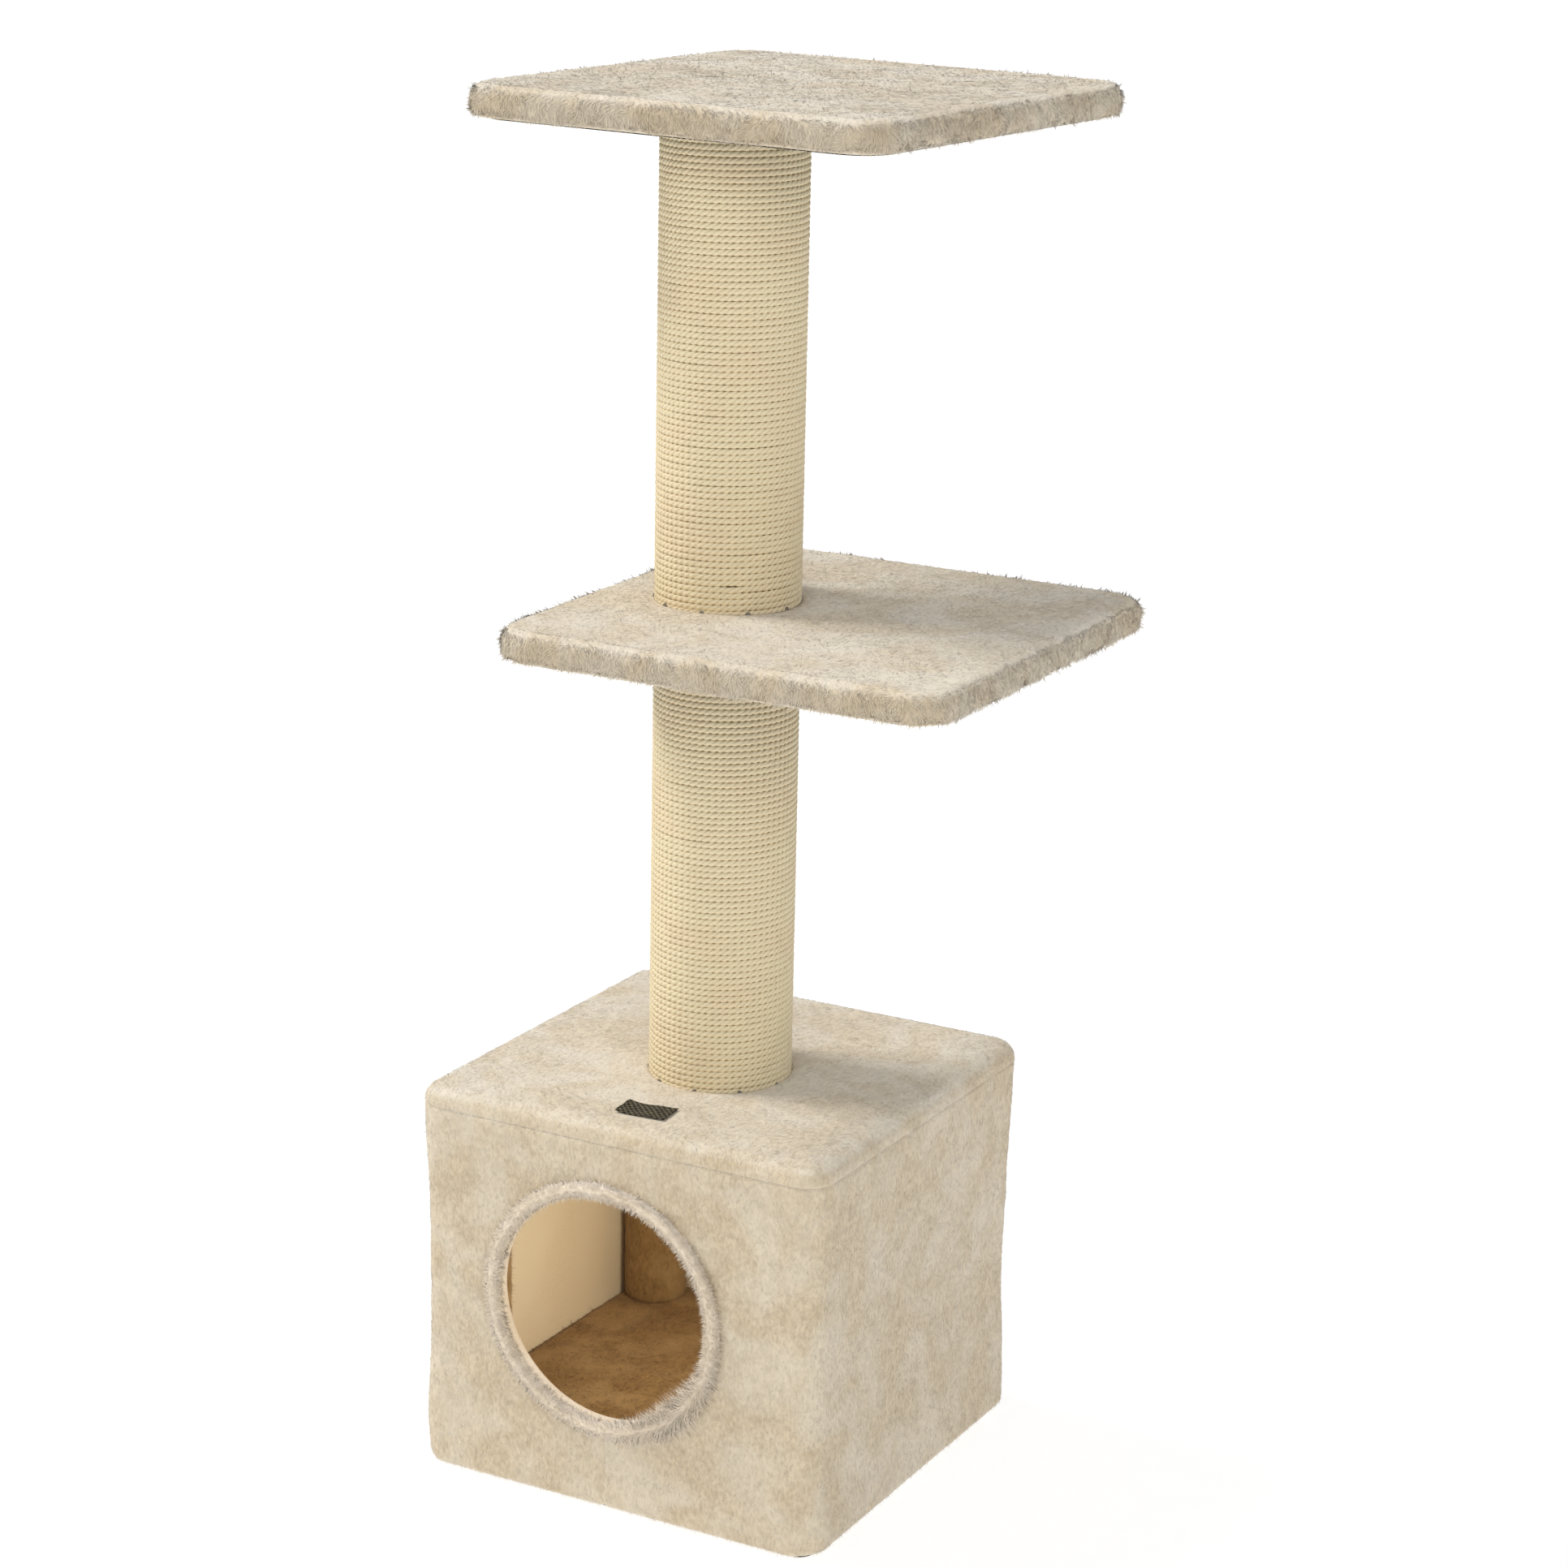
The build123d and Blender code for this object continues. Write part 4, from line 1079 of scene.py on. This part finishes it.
def buildRope(post, number):
    look = ropeLook
    low, high = boxOf(post + "_sisal_rope")
    pitch = (high.z - low.z) / ropeTurns
    radius = (ropeRadius - tubeRadius) / 2
    track = tubeRadius + radius
    wound = ropeTurns + 1
    count = int(wound * look["perTurn"])
    turn = np.arange(count + 1) / look["perTurn"] - 1
    angle = 2 * math.pi * turn - math.pi / 2 + number
    along = turn * 2 * math.pi * track
    z = low.z + pitch / 2 + pitch * turn
    drift = np.column_stack([along * 18, np.full(len(along), number * 9.0), np.zeros(len(along))])
    wobble = look["wobble"] * noiseAt(drift, 1.0, 3 + number)
    level = np.clip(z, low.z + 0.5 * pitch, high.z - 0.5 * pitch)
    tucked = np.minimum(np.abs(z - level) / pitch, 1) * look["tuck"]
    z = level + 0.9 * wobble * (level == z)
    # close to the tube the section is flat, so most of its corners lie on the outside
    spots = np.radians([-102, -58, -20, 20, 58, 102])
    slit = slitAt(post, low.z, angle, z)
    rings = []
    for spot in spots:
        twist = look["strands"] * spot - 2 * math.pi * ropeRidges * turn
        size = radius * (1.02 + look["strandDepth"] * np.cos(twist))
        bulge = abs(math.cos(spot)) ** look["flat"] * math.copysign(1, math.cos(spot))
        out = track + size * bulge + wobble * 0.6 - tucked
        up = z + slit + size * math.sin(spot) * (pitch / (2 * radius)) * look["overlap"]
        rings.append(np.column_stack([postMiddle.x + out * np.cos(angle), postMiddle.y + out * np.sin(angle), up]))
    grid = np.stack(rings, axis=1)
    points = grid.reshape(-1, 3)
    sides = len(spots)
    row, column = np.meshgrid(np.arange(count), np.arange(sides), indexing="ij")
    nextColumn = (column + 1) % sides
    faces = np.stack([row * sides + column, (row + 1) * sides + column,
                      (row + 1) * sides + nextColumn, row * sides + nextColumn], axis=-1).reshape(-1, 4)
    caps = [list(range(sides)), [count * sides + k for k in range(sides)][::-1]]
    rope = makeMesh(post + "Rope", points, faces, caps)
    ropeMap(rope, count, sides, look)
    dress(rope, sisal, "sisal", [post + "_sisal_rope"])
    outside = (faces.reshape(count, sides, 4)[:, 1:4]).reshape(-1, 4)
    growFibres(post + "RopeHair", points, outside, {**ropeHair, "seed": 101 + number}, (sisalHair, "sisal"), ropeNap)
    print(post, "rope made:", len(rope.data.polygons), "faces")


def slitAt(post, foot, angle, z):
    # two turns part a little where the winding slipped
    if post != ropeSlit["post"]:
        return np.zeros(len(angle))
    turned = np.degrees(angle) - ropeSlit["turn"]
    around = np.radians((turned + 180) % 360 - 180) * ropeRadius
    above = z - foot - ropeSlit["height"]
    near = np.exp(-(around / ropeSlit["length"]) ** 2) * np.exp(-(above / ropeSlit["spread"]) ** 2)
    return ropeSlit["open"] * near * np.sign(above)


def ropeNap(points, normals):
    around = np.column_stack([-(points[:, 1] - postMiddle.y), points[:, 0] - postMiddle.x, np.zeros(len(points))])
    return unit(around) + np.array([0.0, 0.0, -0.25])


def ropeMap(rope, count, sides, look):
    # one row of the map for each turn, one column for each step around
    vertex = numbersOf(rope.data.loops, "vertex_index")
    starts = numbersOf(rope.data.polygons, "loop_start")
    totals = numbersOf(rope.data.polygons, "loop_total")
    face = np.repeat(np.arange(len(totals)), totals)
    firstRow = np.repeat(vertex[starts] // sides, totals)
    firstColumn = np.repeat(vertex[starts] % sides, totals)
    turn = firstRow // look["perTurn"]
    rows = ropeTurns + 1
    u = (vertex // sides - turn * look["perTurn"]) / look["perTurn"]
    column = vertex % sides
    column = np.where((firstColumn == sides - 1) & (column == 0), sides, column)
    v = (turn + 0.05 + 0.9 * column / sides) / rows
    isCap = face >= count * sides
    addMap(rope, np.where(isCap, 0.001, u), np.where(isCap, 0.999, v))


buildRope("lower", 0)
buildRope("upper", 1)


labelLook = {"length": 36 * mm, "width": 22 * mm, "columns": 36, "rows": 22, "thickness": 0.6 * mm,
             "curl": 0.9 * mm, "lift": 1.9 * mm}


def buildLabel():
    look = labelLook
    x, y = np.meshgrid(np.linspace(-0.5, 0.5, look["columns"] + 1), np.linspace(-0.5, 0.5, look["rows"] + 1),
                       indexing="ij")
    flatX, flatY = x.ravel() * look["length"], y.ravel() * look["width"]
    rise = look["lift"] + look["curl"] * np.abs(x.ravel() * 2) ** 4 + 0.3 * mm * np.sin(flatX * 260)
    rise = rise + 0.25 * mm * np.sin(flatY * 520 + flatX * 90)
    px = labelMiddle.x + flatX * math.cos(labelTurn) - flatY * math.sin(labelTurn)
    py = labelMiddle.y + flatX * math.sin(labelTurn) + flatY * math.cos(labelTurn)
    points = np.column_stack([px, py, lidHigh.z + rise])
    across = look["rows"] + 1
    faces = [(i * across + j, (i + 1) * across + j, (i + 1) * across + j + 1, i * across + j + 1)
             for i in range(look["columns"]) for j in range(look["rows"])]
    label = makeMesh("plainLabel", points, np.array(faces))
    thicken(label, look["thickness"])
    dress(label, labelCloth, "label_weave", ["woven_label"])


buildLabel()
print("label made")


finishes = {
    "wall_panel": innerBoard, "base_board": chipBoard, "house_top_board": chipBoard, "house_washer": steel,
    "house_bolt": steel, "house_top_screws": steel, "base_screws": steel, "base_staples": steel,
    "base_sheet": backing, "middle_stud": steel, "top_bolt": steel,
}
for corner in ("front_left", "front_right", "back_left", "back_right"):
    finishes["pillar_" + corner] = turnedWood
for post in ("lower", "upper"):
    finishes[post + "_post_tube"] = tubeCard
    finishes[post + "_rope_tacks"] = steel
    for end in ("foot", "head"):
        finishes[post + "_post_" + end + "_plug"] = turnedWood
        finishes[post + "_post_" + end + "_insert"] = steel
for level in ("middle", "top"):
    finishes[level + "_platform_board"] = chipBoard
    finishes[level + "_platform_sheet"] = backing
    finishes[level + "_platform_staples"] = steel
for node, material in finishes.items():
    for slot in frame["nodes"][node].material_slots:
        slot.material = material
print("finishes set on", len(finishes), "nodes")

triangles = sum(len(p.vertices) - 2 for o in scene.objects if o.type == "MESH" for p in o.data.polygons)
print("triangles in all:", triangles)
